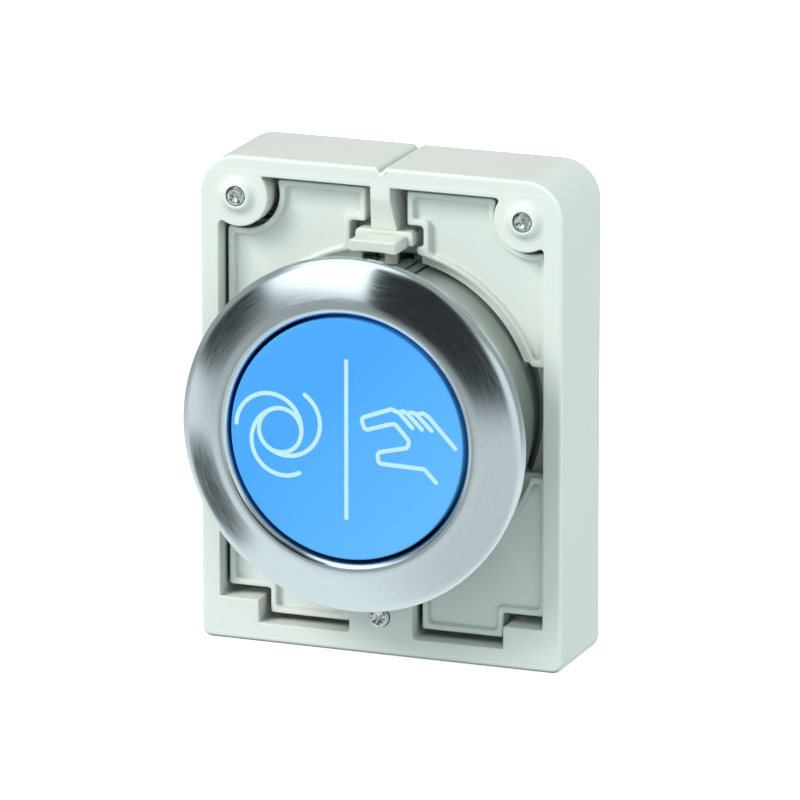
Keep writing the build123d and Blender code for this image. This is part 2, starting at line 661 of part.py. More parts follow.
def contact_carrier():
    face = offset(frame_window(), -CARRIER_GAP, kind=Kind.INTERSECTION)
    body = prism(face, CARRIER_FRONT, FRAME_REAR)
    body -= tube(0, NECK_R + 0.05, CARRIER_FRONT - 1, NECK_END)
    body -= tube(0, CARRIER_OPENING_R, NECK_END - 1, FRAME_REAR + 1)
    for x, z in SCREW_PLACES:
        body -= tube(0, COUNTERBORE_R + 0.1, FRAME_REAR - 0.5, FRAME_REAR + 1, x, z)
    inner = FRAME_HALF_WIDTH - BAR
    for z in (-SNAP_Z, SNAP_Z):
        body += mirrored(block(inner - 1, inner + SNAP_DEPTH, SNAP_Y0, SNAP_Y1, z - SNAP_HALF, z + SNAP_HALF))
    for x in (-CONTACT_PITCH, 0, CONTACT_PITCH):
        body += upper_hook(x) + lower_hook(x)
    return body


os.makedirs("parts", exist_ok=True)
auto_inlay = inlay(swirl_face())
hand_inlay = inlay(hand_face())
divider_inlay = inlay(divider_face())
save(bezel_ring(), "bezel_ring")
save(neck_body(), "neck_body")
save(panel_gasket(), "panel_gasket")
save(bezel_o_ring(), "bezel_o_ring")
save(lip_seal(), "lip_seal")
save(button_cap([auto_inlay, hand_inlay, divider_inlay]), "button_cap")
save(auto_inlay, "symbol_auto")
save(hand_inlay, "symbol_hand")
save(divider_inlay, "symbol_divider")
save(plunger(), "plunger")
save(retaining_ring(), "retaining_ring")
save(push_bridge(), "push_bridge")
save(bridge_screw(), "bridge_screw")
save(return_spring(), "return_spring")
save(adapter_frame(), "adapter_frame")
save(latch_plate(), "latch_plate")
save(latch_springs(), "latch_springs")
save(clamp_screw(-SCREW_X, SCREW_TOP_Z), "clamp_screw_left")
save(clamp_screw(SCREW_X, SCREW_TOP_Z), "clamp_screw_right")
save(clamp_screw(0, SCREW_BOTTOM_Z), "clamp_screw_bottom")
save(thread_inserts(), "thread_inserts")
save(contact_carrier(), "contact_carrier")
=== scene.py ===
import math

import bmesh
import bpy
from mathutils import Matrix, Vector
from mathutils.geometry import tessellate_polygon


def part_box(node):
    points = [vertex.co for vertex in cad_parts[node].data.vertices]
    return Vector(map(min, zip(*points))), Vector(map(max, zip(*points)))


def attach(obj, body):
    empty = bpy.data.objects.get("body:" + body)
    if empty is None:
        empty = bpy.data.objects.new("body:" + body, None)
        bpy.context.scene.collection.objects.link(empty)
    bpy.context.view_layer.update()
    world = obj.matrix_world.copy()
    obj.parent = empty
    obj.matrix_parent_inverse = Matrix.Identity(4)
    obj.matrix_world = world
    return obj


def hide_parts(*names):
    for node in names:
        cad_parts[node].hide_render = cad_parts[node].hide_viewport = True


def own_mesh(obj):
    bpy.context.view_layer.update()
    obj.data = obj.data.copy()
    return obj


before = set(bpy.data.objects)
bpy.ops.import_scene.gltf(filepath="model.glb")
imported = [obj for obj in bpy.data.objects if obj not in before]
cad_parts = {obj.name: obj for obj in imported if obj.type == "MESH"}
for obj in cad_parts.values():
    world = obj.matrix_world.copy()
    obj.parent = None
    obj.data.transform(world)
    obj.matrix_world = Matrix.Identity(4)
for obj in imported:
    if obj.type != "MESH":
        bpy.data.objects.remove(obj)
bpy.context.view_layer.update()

# Flush push-button actuator. Lengths in this script are millimetres in the CAD frame:
# +X right, +Y from the operator into the panel, +Z up. MM turns them into metres.
MM = 0.001


def extent(node):
    """A CAD node's lowest and highest corners, in millimetres."""
    low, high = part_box(node)
    return [c / MM for c in low], [c / MM for c in high]


def centre(node, axis):
    """Middle of a CAD node along an axis (0, 1 or 2), in millimetres."""
    low, high = extent(node)
    return (low[axis] + high[axis]) / 2


# ------------------------------------------------------------------ sizes read from the CAD frame
bezel_low, bezel_high = extent("bezel_ring")
cap_low, cap_high = extent("button_cap")
seal_low, seal_high = extent("lip_seal")
gasket_low, gasket_high = extent("panel_gasket")
neck_low, neck_high = extent("neck_body")
frame_low, frame_high = extent("adapter_frame")
latch_low, latch_high = extent("latch_plate")
carrier_low, carrier_high = extent("contact_carrier")

BEZEL_R = bezel_high[0]
CAP_R = cap_high[0]
COLLAR_R = seal_high[0]
GASKET_R = gasket_high[0]
NECK_R = neck_high[0]
NECK_FRONT = neck_low[1]
NECK_END = neck_high[1]
FRAME_X = frame_high[0]
FRAME_TOP = frame_high[2]
FRAME_BOTTOM = frame_low[2]
FRAME_REAR = frame_high[1]
NIB_FRONT = frame_low[1]
LATCH_FRONT = latch_low[1]
LATCH_REAR = latch_high[1]
LATCH_X = latch_high[0]
LATCH_TOP = latch_high[2]
LATCH_BOTTOM = latch_low[2]
BOSS_X = centre("clamp_screw_right", 0)
BOSS_Z = centre("clamp_screw_right", 2)
FOOT_Z = centre("clamp_screw_bottom", 2)

# ------------------------------------------------------------------ the same sizes as in the CAD design
BORE_R = 12.63
GASKET_INNER_R = 15.5
CAP_SKIRT_R = 11.2

GROOVE_Y0, GROOVE_Y1, GROOVE_R = 12.6, 14.3, 14.2
KEYWAY_Y0, KEYWAY_HALF, KEYWAY_FLOOR = 5.0, 0.8, 14.3
SIDE_SLOTS = ((1.8, 2.2), (3.0, 3.4))
SIDE_SLOT_FLOOR_R = 14.7
POCKET_Y0, POCKET_HALF, POCKET_X = 10.2, 5.5, 13.45
NECK_BORE_R, REAR_BORE_R = 12.55, 12.4
WEB_Y0, WEB_Y1 = 9.5, 11.0
WEB_HOLE_R, WEB_HOLE_CIRCLE_R = 1.5, 10.4
WEB_HOLE_ANGLES = (30, 90, 150, 210, 330)
GUIDE_Y0, GUIDE_Y1, GUIDE_R = 6.0, 13.5, 6.0
HUB_BORE_R, HUB_SLOT_HALF, HUB_SLOT_R = 4.55, 0.7, 5.45

FRAME_FRONT = 6.9
BAR = 2.0
BOSS_R = 3.2
DOME_TOP = FRAME_FRONT - 0.6
STEP_X, STEP_Z = 13.05, -20.25
BLOCK_X, BLOCK_Z = 3.35, -17.65
RAIL_Y = (11.5, 12.65)
RAIL_Z = (-4.7, 5.2)
POCKET_R, POCKET_FLOOR, SCREW_BORE_R = 2.3, 15.16, 1.06

LATCH_RISE = 0.5
LATCH_BOSS_R = 3.75
LATCH_STEP_X, LATCH_STEP_Z = 12.45, -19.4
LATCH_BLOCK_X, LATCH_BLOCK_Z = 3.8, -16.9
LATCH_WALL_Y = 10.5
LATCH_WEB_Y = 12.75
LATCH_HOLE_R = 15.1
OPENING_R = 16.3
SIDE_HALF = 5.65
LIP = 0.66
FIELD_R = 16.8
SLOT_NARROW, SLOT_WIDE, SLOT_THROAT = 2.2, 3.9, 3.2
SLOT_SHOULDER, SLOT_FOOT = 19.4, 17.3
LEDGE_Y = (10.15, 10.7)
LEDGE_OUTER_R = 16.6
SEAT_X, SEAT_HALF = 8.2, 1.5
SEAT_Z = (-17.6, -16.7)

CARRIER_GAP = 0.05
CARRIER_OPENING_R = 12.6
CONTACT_PITCH = 9.2
HOOK_Z, HOOK_HALF = 15.4, 2.2
SNAP_Y = (15.6, 16.6)
SNAP_Z = 13.0


# ------------------------------------------------------------------ 2-D outlines in the x-z plane
def spoke(r, angle, x=0.0, z=0.0):
    """The point at radius r and an angle in degrees from a centre."""
    a = math.radians(angle)
    return x + r * math.cos(a), z + r * math.sin(a)


def arc(cx, cz, r, a0, a1, step=3.0):
    """Points along an arc; angles in degrees, anticlockwise when a1 > a0."""
    n = max(2, int(math.ceil(abs(a1 - a0) / step)))
    return [spoke(r, a0 + (a1 - a0) * i / n, cx, cz) for i in range(n + 1)]


def circle(x, z, r, step=3.0):
    return arc(x, z, r, 0, 360, step)[:-1]


def angle_at_x(r, x):
    """Angle in degrees at which a circle about the origin reaches x, in its upper half."""
    return math.degrees(math.acos(x / r))


def angle_at_z(r, z):
    """Angle in degrees at which a circle about the origin reaches z, in its right half."""
    return math.degrees(math.asin(z / r))


def boss_arc(r, x_edge, z_edge, step=4):
    """Clockwise arc about the right boss, from a vertical edge at x_edge to a level one at z_edge."""
    x, z = x_edge - BOSS_X, z_edge - BOSS_Z
    start = math.degrees(math.atan2(-math.sqrt(r * r - x * x), x))
    end = math.degrees(math.atan2(z, -math.sqrt(r * r - z * z))) - 360
    return arc(BOSS_X, BOSS_Z, r, start, end, step)


def bend(a, corner, b, t):
    """Point at t on the curve that leaves a towards corner and arrives at b from it."""
    return tuple((1 - t) ** 2 * p + 2 * t * (1 - t) * q + t * t * r for p, q, r in zip(a, corner, b))


def distance(a, b):
    return math.hypot(b[0] - a[0], b[1] - a[1])


def trim(points, length):
    """Drops a length from the start of a polyline."""
    pts = list(points)
    while len(pts) > 1:
        (xa, za), (xb, zb) = pts[0], pts[1]
        run = distance(pts[0], pts[1])
        if run > length:
            t = length / run
            pts[0] = (xa + (xb - xa) * t, za + (zb - za) * t)
            return pts
        length -= run
        pts.pop(0)
    return pts


def at(x, z, corner):
    """A stop of an outline at one point, eased over corner millimetres."""
    return [(x, z)], corner, corner


def outline(stops):
    """Closed loop through stops, eased at corners: (points, corner at their start, corner at their end)."""
    segments = []
    for (points, _, end), (following, start, _) in zip(stops, stops[1:] + stops[:1]):
        if len(points) > 1:
            segments.append((points, end))
        segments.append(([points[-1], following[0]], start))
    trimmed = []
    for (points, after), (_, before) in zip(segments, segments[-1:] + segments[:-1]):
        points = trim(points, before)
        trimmed.append(trim(points[::-1], after)[::-1])
    easing = [k / 6 for k in range(1, 6)]
    loop = []
    for (points, after), body, following in zip(segments, trimmed, trimmed[1:] + trimmed[:1]):
        loop += body
        if after > 0:
            loop += [bend(body[-1], points[-1], following[0], t) for t in easing]
    same_point = 1e-3
    clean = []
    for point in loop:
        if not clean or distance(point, clean[-1]) > same_point:
            clean.append(point)
    if distance(clean[0], clean[-1]) < same_point:
        clean.pop()
    return clean


def flipped(points):
    """Points mirrored left to right and reversed, so that a loop turns the same way round."""
    return [(-x, z) for x, z in reversed(points)]


def flipped_stops(stops):
    return [(flipped(points), end, start) for points, start, end in reversed(stops)]


def area(loop):
    return sum(a[0] * b[1] - b[0] * a[1] for a, b in zip(loop, loop[1:] + loop[:1])) / 2


def solid_loop(loop):
    return loop if area(loop) > 0 else loop[::-1]


def hole_loop(loop):
    return loop if area(loop) < 0 else loop[::-1]


# ------------------------------------------------------------------ meshes
def vertices(bm, points):
    return [bm.verts.new((x * MM, y * MM, z * MM)) for x, y, z in points]


def strip(bm, low, high):
    """Faces between two rings of vertices; a ring of one vertex is a pole."""
    count = max(len(low), len(high))
    for i in range(count):
        j = (i + 1) % count
        if len(low) == 1:
            bm.faces.new((low[0], high[j], high[i]))
        elif len(high) == 1:
            bm.faces.new((low[i], low[j], high[0]))
        else:
            bm.faces.new((low[i], low[j], high[j], high[i]))


def strips(bm, rings, closed=False):
    """Faces from each ring to the next, and from the last to the first if closed."""
    for low, high in zip(rings, rings[1:] + rings[:1] if closed else rings[1:]):
        strip(bm, low, high)


def fill(bm, rings):
    """Flat fill between rings of vertices: the first outside, the rest holes."""
    flat = [[Vector((v.co.x / MM, v.co.z / MM, 0)) for v in ring] for ring in rings]
    verts = [v for ring in rings for v in ring]
    for corners in tessellate_polygon(flat):
        chosen = [verts[k] for k in corners]
        if len(set(chosen)) == 3 and not bm.faces.get(chosen):
            bm.faces.new(chosen)


def heading(a, b):
    return Vector((b[0] - a[0], b[1] - a[1])).normalized()


def skirt(bm, loop, profile):
    """Wall along a loop: (d, y) steps, d outwards from the solid. Returns its first and last rings."""
    push = []
    sharpest = 0.45
    for before, here, after in zip(loop[-1:] + loop[:-1], loop, loop[1:] + loop[:1]):
        arriving, leaving = heading(before, here), heading(here, after)
        normal = Vector((arriving.y, -arriving.x))
        mean = normal + Vector((leaving.y, -leaving.x))
        mean = mean.normalized() if mean.length > 1e-6 else normal
        push.append(mean / max(mean.dot(normal), sharpest))
    rings = []
    for d, y in profile:
        rings.append(vertices(bm, [(x + out.x * d, y, z + out.y * d) for (x, z), out in zip(loop, push)]))
    strips(bm, rings)
    return rings[0], rings[-1]


def edge_round(r, y, inward, steps=4):
    """Quarter-round from a wall at offset 0 to a face at depth y; inward is the solid's side, 1 or -1."""
    if r == 0:
        return [(0.0, y)]
    flat_band = 0.03
    turns = [math.pi / 2 * k / steps for k in range(steps + 1)]
    curve = [(-r * (1 - math.cos(a)), y + inward * r * (1 - math.sin(a))) for a in turns]
    return curve + [(-r - flat_band, y)]


def rounded_wall(bm, loop, y0, y1, front_r, rear_r, front_steps=4):
    """Wall from y1 forward to y0 with rounded edges. Returns its rear and front rings."""
    return skirt(bm, loop, edge_round(rear_r, y1, -1)[::-1] + edge_round(front_r, y0, 1, front_steps))


def prism(bm, outer, holes, y0, y1, edges, hole_edges=None):
    """Solid between depths y0 and y1; edges and hole_edges are (front, rear) radii."""
    rings = [rounded_wall(bm, solid_loop(outer), y0, y1, *edges)]
    rings += [rounded_wall(bm, hole_loop(hole), y0, y1, *(hole_edges or edges)) for hole in holes]
    backs, fronts = zip(*rings)
    fill(bm, fronts)
    fill(bm, backs)


def around(r, y, segments, x=0.0, z=0.0):
    """Points of a circle at depth y; radius 0 gives its centre alone."""
    if r == 0:
        return [(x, y, z)]
    spokes = [spoke(r, 360 * i / segments, x, z) for i in range(segments)]
    return [(px, y, pz) for px, pz in spokes]


def lathe(bm, profile, segments, closed=True):
    """Surface of revolution about the Y axis, from (radius, y) points."""
    strips(bm, [vertices(bm, around(r, y, segments)) for r, y in profile], closed)


def rounded_block(bm, xs, ys, zs, r, segments):
    """Box between two values on each axis, with rounded edges."""
    made = bmesh.ops.create_cube(bm, size=1.0)["verts"]
    for v in made:
        for axis, ends in enumerate((xs, ys, zs)):
            v.co[axis] = (min(ends) if v.co[axis] < 0 else max(ends)) * MM
    edges = list(dict.fromkeys(e for v in made for e in v.link_edges))
    bmesh.ops.bevel(bm, geom=edges, offset=r * MM, segments=segments, profile=0.5, affect="EDGES")


def mesh_object(name, bm, material):
    mesh = bpy.data.meshes.new(name)
    bm.to_mesh(mesh)
    bm.free()
    mesh.polygons.foreach_set("use_smooth", [True] * len(mesh.polygons))
    mesh.materials.append(material)
    obj = bpy.data.objects.new(name, mesh)
    bpy.context.scene.collection.objects.link(obj)
    return obj


def piece(name, node, body, bm, material, sharp=34, weighted=True):
    """Turns a bmesh into a piece that stands for a CAD node and rides on a body; sharp is in degrees."""
    bmesh.ops.recalc_face_normals(bm, faces=bm.faces)
    obj = mesh_object(name, bm, material)
    obj.data.set_sharp_from_angle(angle=math.radians(sharp))
    if weighted:
        normals = obj.modifiers.new("face_weighted_normals", "WEIGHTED_NORMAL")
        normals.keep_sharp = True
        normals.weight = 60
    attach(obj, body)
    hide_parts(node)
    return obj


# ------------------------------------------------------------------ node trees
def is_output(value):
    return hasattr(value, "links")


class Tree:
    """Small helper to write node trees: a value is a number or another node's output."""

    def __init__(self, tree):
        self.tree = tree

    def link(self, output, socket):
        self.tree.links.new(output, socket)

    def feed(self, value, socket):
        if is_output(value):
            self.link(value, socket)
        else:
            socket.default_value = value

    def add(self, kind, inputs=None, **settings):
        node = self.tree.nodes.new(kind)
        for key, value in settings.items():
            setattr(node, key, value)
        for key, value in (inputs or {}).items():
            self.feed(value, node.inputs[key])
        return node

    def math(self, operation, a, b=None):
        values = {0: a} if b is None else {0: a, 1: b}
        return self.add("ShaderNodeMath", values, operation=operation).outputs[0]

    def blend(self, a, share_a, b, share_b):
        """Two values added in the given shares."""
        return self.math("ADD", self.math("MULTIPLY", a, share_a), self.math("MULTIPLY", b, share_b))

    def ramp(self, value, low, high, start=0.0, end=1.0, kind="LINEAR"):
        """low where the value is at start, high where it is at end."""
        inputs = {"Value": value, "From Min": start, "From Max": end, "To Min": low, "To Max": high}
        return self.add("ShaderNodeMapRange", inputs, interpolation_type=kind).outputs["Result"]

    def separate(self, vector):
        return self.add("ShaderNodeSeparateXYZ", {0: vector}).outputs


# ------------------------------------------------------------------ materials
class Finish(Tree):
    """A material and its surface shader."""

    def __init__(self, name):
        self.material = bpy.data.materials.new(name)
        self.material.use_nodes = True
        super().__init__(self.material.node_tree)
        self.surface = self.tree.nodes["Principled BSDF"]
        self.position = self.add("ShaderNodeTexCoord").outputs["Object"]

    def set(self, key, value):
        self.feed(value, self.surface.inputs[key])

    def noise(self, scale, detail=2.0, rough=0.5, vector=None, distortion=0.0):
        inputs = {"Scale": scale, "Detail": detail, "Roughness": rough, "Distortion": distortion,
                  "Vector": vector or self.position}
        return self.add("ShaderNodeTexNoise", inputs).outputs["Fac"]

    def mix(self, factor, a, b):
        """Colour a where the factor is 0, b where it is 1."""
        node = self.add("ShaderNodeMix", {"Factor": factor}, data_type="RGBA")
        colour_inputs = [socket for socket in node.inputs if socket.type == "RGBA"]
        for colour, socket in zip((a, b), colour_inputs):
            self.feed(colour if is_output(colour) else (*colour, 1.0), socket)
        return [socket for socket in node.outputs if socket.type == "RGBA"][0]

    def bump(self, height, strength, depth):
        """Relief of a depth in millimetres."""
        node = self.add("ShaderNodeBump", {"Strength": strength, "Distance": depth * MM, "Height": height})
        self.set("Normal", node.outputs["Normal"])

    def painted_crevice_shade(self, reach, low, high):
        """Mask for painted shade: 0 deep in narrow gaps to 1 on open faces, within reach millimetres."""
        node = self.add("ShaderNodeAmbientOcclusion", {"Distance": reach * MM}, samples=8)
        return self.ramp(node.outputs["AO"], 0.0, 1.0, low, high)

    def edge_wear(self, width):
        """0 on flats to 1 on outside edges, from the surface's pointiness."""
        flat = 0.5
        node = self.add("ShaderNodeNewGeometry")
        return self.ramp(node.outputs["Pointiness"], 0.0, 1.0, flat, flat + width)


def shade(colour, factor, lift=0.0):
    """The colour made lighter or darker."""
    return tuple(min(1.0, c * factor + lift) for c in colour)


def moulded_plastic(name, colour, rough, grain, drift):
    """Injection-moulded plastic: spark-eroded grain, slow colour drift, lighter rubbed edges, and painted
    shade darkening narrow gaps and recesses.
    """
    n = Finish(name)
    fine = n.noise(5200.0, 3.0, 0.6)
    base = n.mix(n.noise(90.0, 3.0), shade(colour, 1 - drift), shade(colour, 1 + drift))
    base = n.mix(n.math("MULTIPLY", n.edge_wear(0.06), 0.25), base, shade(colour, 1.12, 0.02))
    # painted shade: the colour is darkened to 16% deep in narrow gaps and recesses, where shade falls
    base = n.mix(n.painted_crevice_shade(1.3, 0.10, 0.60), shade(colour, 0.16), base)
    n.set("Base Color", base)
    n.set("Roughness", n.ramp(fine, rough - 0.06, rough + 0.08))
    n.set("Specular IOR Level", 0.28)
    n.bump(fine, grain, 0.012)
    return n.material


def brushed_steel():
    """Turned stainless: fine concentric brush lines, broader bands and a grainy speckle."""
    n = Finish("brushed_steel_bezel")
    x, _, z = n.separate(n.position)
    radius = n.math("SQRT", n.math("ADD", n.math("MULTIPLY", x, x), n.math("MULTIPLY", z, z)))
    angle = n.math("ARCTAN2", z, x)

    def rings(across, along, rough):
        """Noise stretched round the axis: cells per metre of radius and per radian."""
        place = {0: n.math("MULTIPLY", radius, across), 1: n.math("MULTIPLY", angle, along)}
        return n.noise(1.0, 2.0, rough, n.add("ShaderNodeCombineXYZ", place).outputs[0])

    brush = rings(7000.0, 6.0, 0.6)
    bands = rings(2600.0, 2.0, 0.5)
    speckle = n.noise(8000.0, 2.0, 0.7)
    tone = n.ramp(n.blend(brush, 0.6, speckle, 0.4), 0.25, 0.75)
    n.set("Base Color", n.mix(tone, (0.50, 0.56, 0.58), (0.90, 0.96, 0.98)))
    n.set("Metallic", 1.0)
    n.set("Roughness", n.math("ADD", n.ramp(brush, 0.11, 0.20, 0.25, 0.75), n.math("MULTIPLY", bands, 0.03)))
    n.set("Anisotropic", 0.8)
    n.set("Anisotropic Rotation", 0.25)
    n.set("Tangent", n.add("ShaderNodeTangent", direction_type="RADIAL", axis="Y").outputs[0])
    n.bump(n.blend(brush, 0.7, speckle, 0.3), 0.09, 0.004)
    return n.material


def blue_cap():
    """Satin blue plastic, with a painted sheen: paler towards its lower right."""
    n = Finish("blue_button_plastic")
    fine = n.noise(7000.0, 3.0, 0.6)
    base = n.mix(n.noise(120.0, 2.0), (0.065, 0.36, 0.93), (0.075, 0.39, 0.97))
    x, _, z = n.separate(n.position)
    # painted sheen: the colour is lightened towards the lower right, where the light falls on the face
    painted_sheen = n.ramp(n.math("SUBTRACT", x, z), 0.0, 0.6, -6 * MM, 20 * MM)
    n.set("Base Color", n.mix(painted_sheen, base, (0.18, 0.56, 0.94)))
    n.set("Roughness", n.ramp(fine, 0.46, 0.60))
    n.set("Specular IOR Level", 0.35)
    n.bump(fine, 0.25, 0.006)
    return n.material


def plated_screw():
    """Zinc-plated steel: bright, with thread-rolling smears and duller pits."""
    n = Finish("zinc_plated_screw")
    pits = n.noise(3400.0, 4.0, 0.65, distortion=0.6)
    n.set("Base Color", n.mix(pits, (0.42, 0.43, 0.44), (0.95, 0.96, 0.97)))
    n.set("Metallic", 1.0)
    n.set("Roughness", n.ramp(n.noise(12000.0), 0.14, 0.36))
    n.bump(pits, 0.5, 0.03)
    return n.material


def speckled(name, scale, detail, colours, roughness, bump, metallic=0.0):
    """One fine noise sets the colour between two tones, the roughness and the bump."""
    n = Finish(name)
    fine = n.noise(scale, detail)
    n.set("Base Color", n.mix(fine, *colours))
    n.set("Metallic", metallic)
    n.set("Roughness", n.ramp(fine, *roughness))
    n.bump(fine, *bump)
    return n.material


FRAME_PLASTIC = moulded_plastic("light_grey_frame_plastic", (0.78, 0.79, 0.735), 0.44, 0.30, 0.02)
LATCH_PLASTIC = moulded_plastic("light_grey_latch_plastic", (0.75, 0.77, 0.725), 0.48, 0.30, 0.02)
NECK_PLASTIC = moulded_plastic("grey_beige_neck_nylon", (0.55, 0.59, 0.545), 0.40, 0.45, 0.05)
INNER_PLASTIC = moulded_plastic("dark_inner_plastic", (0.05, 0.05, 0.055), 0.40, 0.35, 0.10)
BRUSHED = brushed_steel()
BLUE = blue_cap()
PLATED = plated_screw()
PALE = speckled("symbol_pale_print", 6000.0, 2.0, ((0.52, 0.77, 0.79), (0.60, 0.84, 0.85)),
                (0.45, 0.62), (0.2, 0.005))
RUBBER = speckled("black_seal_rubber", 4200.0, 4.0, ((0.008, 0.008, 0.009), (0.022, 0.022, 0.024)),
                  (0.62, 0.85), (0.3, 0.01))
WIRE = speckled("drawn_spring_wire", 8000.0, 3.0, ((0.34, 0.34, 0.35), (0.62, 0.62, 0.63)),
                (0.22, 0.42), (0.2, 0.005), 1.0)
BRASS = speckled("turned_brass_insert", 6000.0, 3.0, ((0.62, 0.42, 0.15), (0.86, 0.64, 0.30)),
                 (0.22, 0.40), (0.25, 0.006), 1.0)

CAD_LOOKS = {
    "panel_gasket": RUBBER, "bezel_o_ring": RUBBER, "lip_seal": RUBBER,
    "symbol_auto": PALE, "symbol_hand": PALE, "symbol_divider": PALE,
    "plunger": INNER_PLASTIC, "push_bridge": INNER_PLASTIC, "bridge_screw": PLATED,
    "retaining_ring": WIRE, "thread_inserts": BRASS,
}
for node_name, look in CAD_LOOKS.items():
    for material_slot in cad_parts[node_name].material_slots:
        material_slot.material = look


# ------------------------------------------------------------------ bezel and cap
def build_bezel():
    """Dished ring: thin outer edge, convex flank to a crest, polished band, step down to the button."""
    edge = (BEZEL_R, -0.5)
    turn = (17.0, -1.40)
    crest_r, crest_y = 14.2, bezel_low[1] + 0.03
    edge_steps, flank_steps = 12, 14
    bulge = 0.05
    back_y = seal_low[1]
    gasket_y = gasket_low[1]
    profile = [(BEZEL_R, -0.02), edge]
    profile += [bend(edge, (BEZEL_R - 0.02, -1.0), turn, k / edge_steps) for k in range(1, edge_steps + 1)]
    for k in range(1, flank_steps + 1):
        t = k / flank_steps
        y = turn[1] + (crest_y - turn[1]) * t - bulge * 4 * t * (1 - t)
        profile.append((turn[0] + (crest_r - turn[0]) * t, y))
    # radius, and depth past the crest
    band = [(13.9, -0.06), (13.5, -0.115), (13.15, -0.135), (12.95, -0.06), (12.68, 0.33), (BORE_R, 0.42)]
    profile += [(r, crest_y + y) for r, y in band]
    profile += [
        (BORE_R, back_y), (COLLAR_R, back_y), (COLLAR_R, NECK_FRONT), (GASKET_INNER_R, NECK_FRONT),
        (GASKET_INNER_R, gasket_y), (GASKET_R, gasket_y), (GASKET_R, 0.0), (BEZEL_R - 0.02, 0.0),
    ]
    bm = bmesh.new()
    lathe(bm, profile, 360)
    piece("bezel_brushed_ring", "bezel_ring", "actuator", bm, BRUSHED, 38)


def build_cap():
    """Flat cap with a rounded rim and a skirt, its face just behind the inlaid symbols."""
    face = cap_low[1] + 0.02
    skirt_end = cap_high[1]
    underside = -0.25
    rim, rim_steps = 0.18, 6
    profile = [(r, face) for r in (0, 4, 8, 11, CAP_R - rim)]
    for k in range(1, rim_steps + 1):
        a = math.pi / 2 * k / rim_steps
        profile.append((CAP_R - rim + rim * math.sin(a), face + rim * (1 - math.cos(a))))
    profile += [
        (CAP_R, skirt_end - 0.1), (CAP_R - 0.1, skirt_end), (CAP_SKIRT_R + 0.05, skirt_end),
        (CAP_SKIRT_R, skirt_end - 0.05), (CAP_SKIRT_R, underside), (0, underside),
    ]
    bm = bmesh.new()
    lathe(bm, profile, 288, closed=False)
    piece("button_cap_shell", "button_cap", "button", bm, BLUE, 40)


# ------------------------------------------------------------------ neck
def neck_radius(angle, y):
    """Outer radius of the neck at an angle and a depth, less its groove, keyway, slots and pockets."""
    x, z = spoke(NECK_R, angle)
    cosine, sine = abs(x) / NECK_R, z / NECK_R
    r = GROOVE_R if GROOVE_Y0 < y < GROOVE_Y1 else NECK_R
    if y > KEYWAY_Y0 and z > 0:
        if abs(x) < KEYWAY_HALF:
            r = min(r, KEYWAY_FLOOR / sine)
        elif any(x0 < abs(x) < x1 for x0, x1 in SIDE_SLOTS):
            r = min(r, SIDE_SLOT_FLOOR_R)
    if POCKET_Y0 < y < GROOVE_Y0 and abs(z) < POCKET_HALF:
        r = min(r, POCKET_X / cosine)
    return r


def neck_angles(near=0.02):
    """Every degree, and a pair close to each cut's edge so that its walls stand steep."""
    cuts = [KEYWAY_HALF] + [x for slot in SIDE_SLOTS for x in slot]
    edges = [90 + side * angle_at_z(NECK_R, half) for half in cuts for side in (-1, 1)]
    edges += [middle + side * angle_at_z(NECK_R, POCKET_HALF) for middle in (0, 180) for side in (-1, 1)]
    return sorted(set(range(360)) | {(edge + e) % 360 for edge in edges for e in (-near, near)})


def neck_levels(near=0.01):
    """Depths of the outer rings, with a pair close to each cut's end."""
    ends = (KEYWAY_Y0, POCKET_Y0, GROOVE_Y0, GROOVE_Y1)
    return sorted([0.02, 0.3, 2.5, 7.5, NECK_END - 0.15] + [y + e for y in ends for e in (-near, near)])


def build_neck():
    """Neck sleeve with keyway and side slots on top, latch pockets at the sides and a web with a guide."""
    angles = neck_angles()
    seal_end = seal_high[1]
    rows = [[(NECK_R - 0.1, a, NECK_FRONT) for a in angles], [(NECK_R, a, NECK_FRONT + 0.1) for a in angles]]
    rows += [[(neck_radius(a, y), a, y) for a in angles] for y in neck_levels()]
    rows.append([(neck_radius(a, NECK_END - 0.1) - 0.12, a, NECK_END) for a in angles])
    inside = [
        (REAR_BORE_R + 0.1, NECK_END), (REAR_BORE_R, NECK_END - 0.1), (REAR_BORE_R, WEB_Y1 + 0.02),
        (REAR_BORE_R + 0.02, WEB_Y1 - 0.02), (NECK_BORE_R, WEB_Y0), (NECK_BORE_R, seal_end),
        (COLLAR_R, seal_end - 0.02), (COLLAR_R, NECK_FRONT),
    ]
    rows += [[(r, a, y) for a in angles] for r, y in inside]
    bm = bmesh.new()
    rings = []
    for row in rows:
        spots = [(spoke(r, a), y) for r, a, y in row]
        rings.append(vertices(bm, [(x, y, z) for (x, z), y in spots]))
    strips(bm, rings, closed=True)
    holes = [circle(*spoke(WEB_HOLE_CIRCLE_R, a), WEB_HOLE_R, 12) for a in WEB_HOLE_ANGLES]
    key = angle_at_z(HUB_BORE_R, HUB_SLOT_HALF)
    bore = outline([
        (arc(0, 0, HUB_BORE_R, -90 + key, 270 - key, 4), 0.0, 0.0),
        at(-HUB_SLOT_HALF, -HUB_SLOT_R, 0.1), at(HUB_SLOT_HALF, -HUB_SLOT_R, 0.1),
    ])
    prism(bm, circle(0, 0, REAR_BORE_R + 0.05, 2), [bore] + holes, WEB_Y0, WEB_Y1, (0.1, 0.1))
    prism(bm, circle(0, 0, GUIDE_R), [bore], GUIDE_Y0, GUIDE_Y1, (0.15, 0.15), (0.1, 0.1))
    piece("neck_sleeve", "neck_body", "actuator", bm, NECK_PLASTIC, 30)


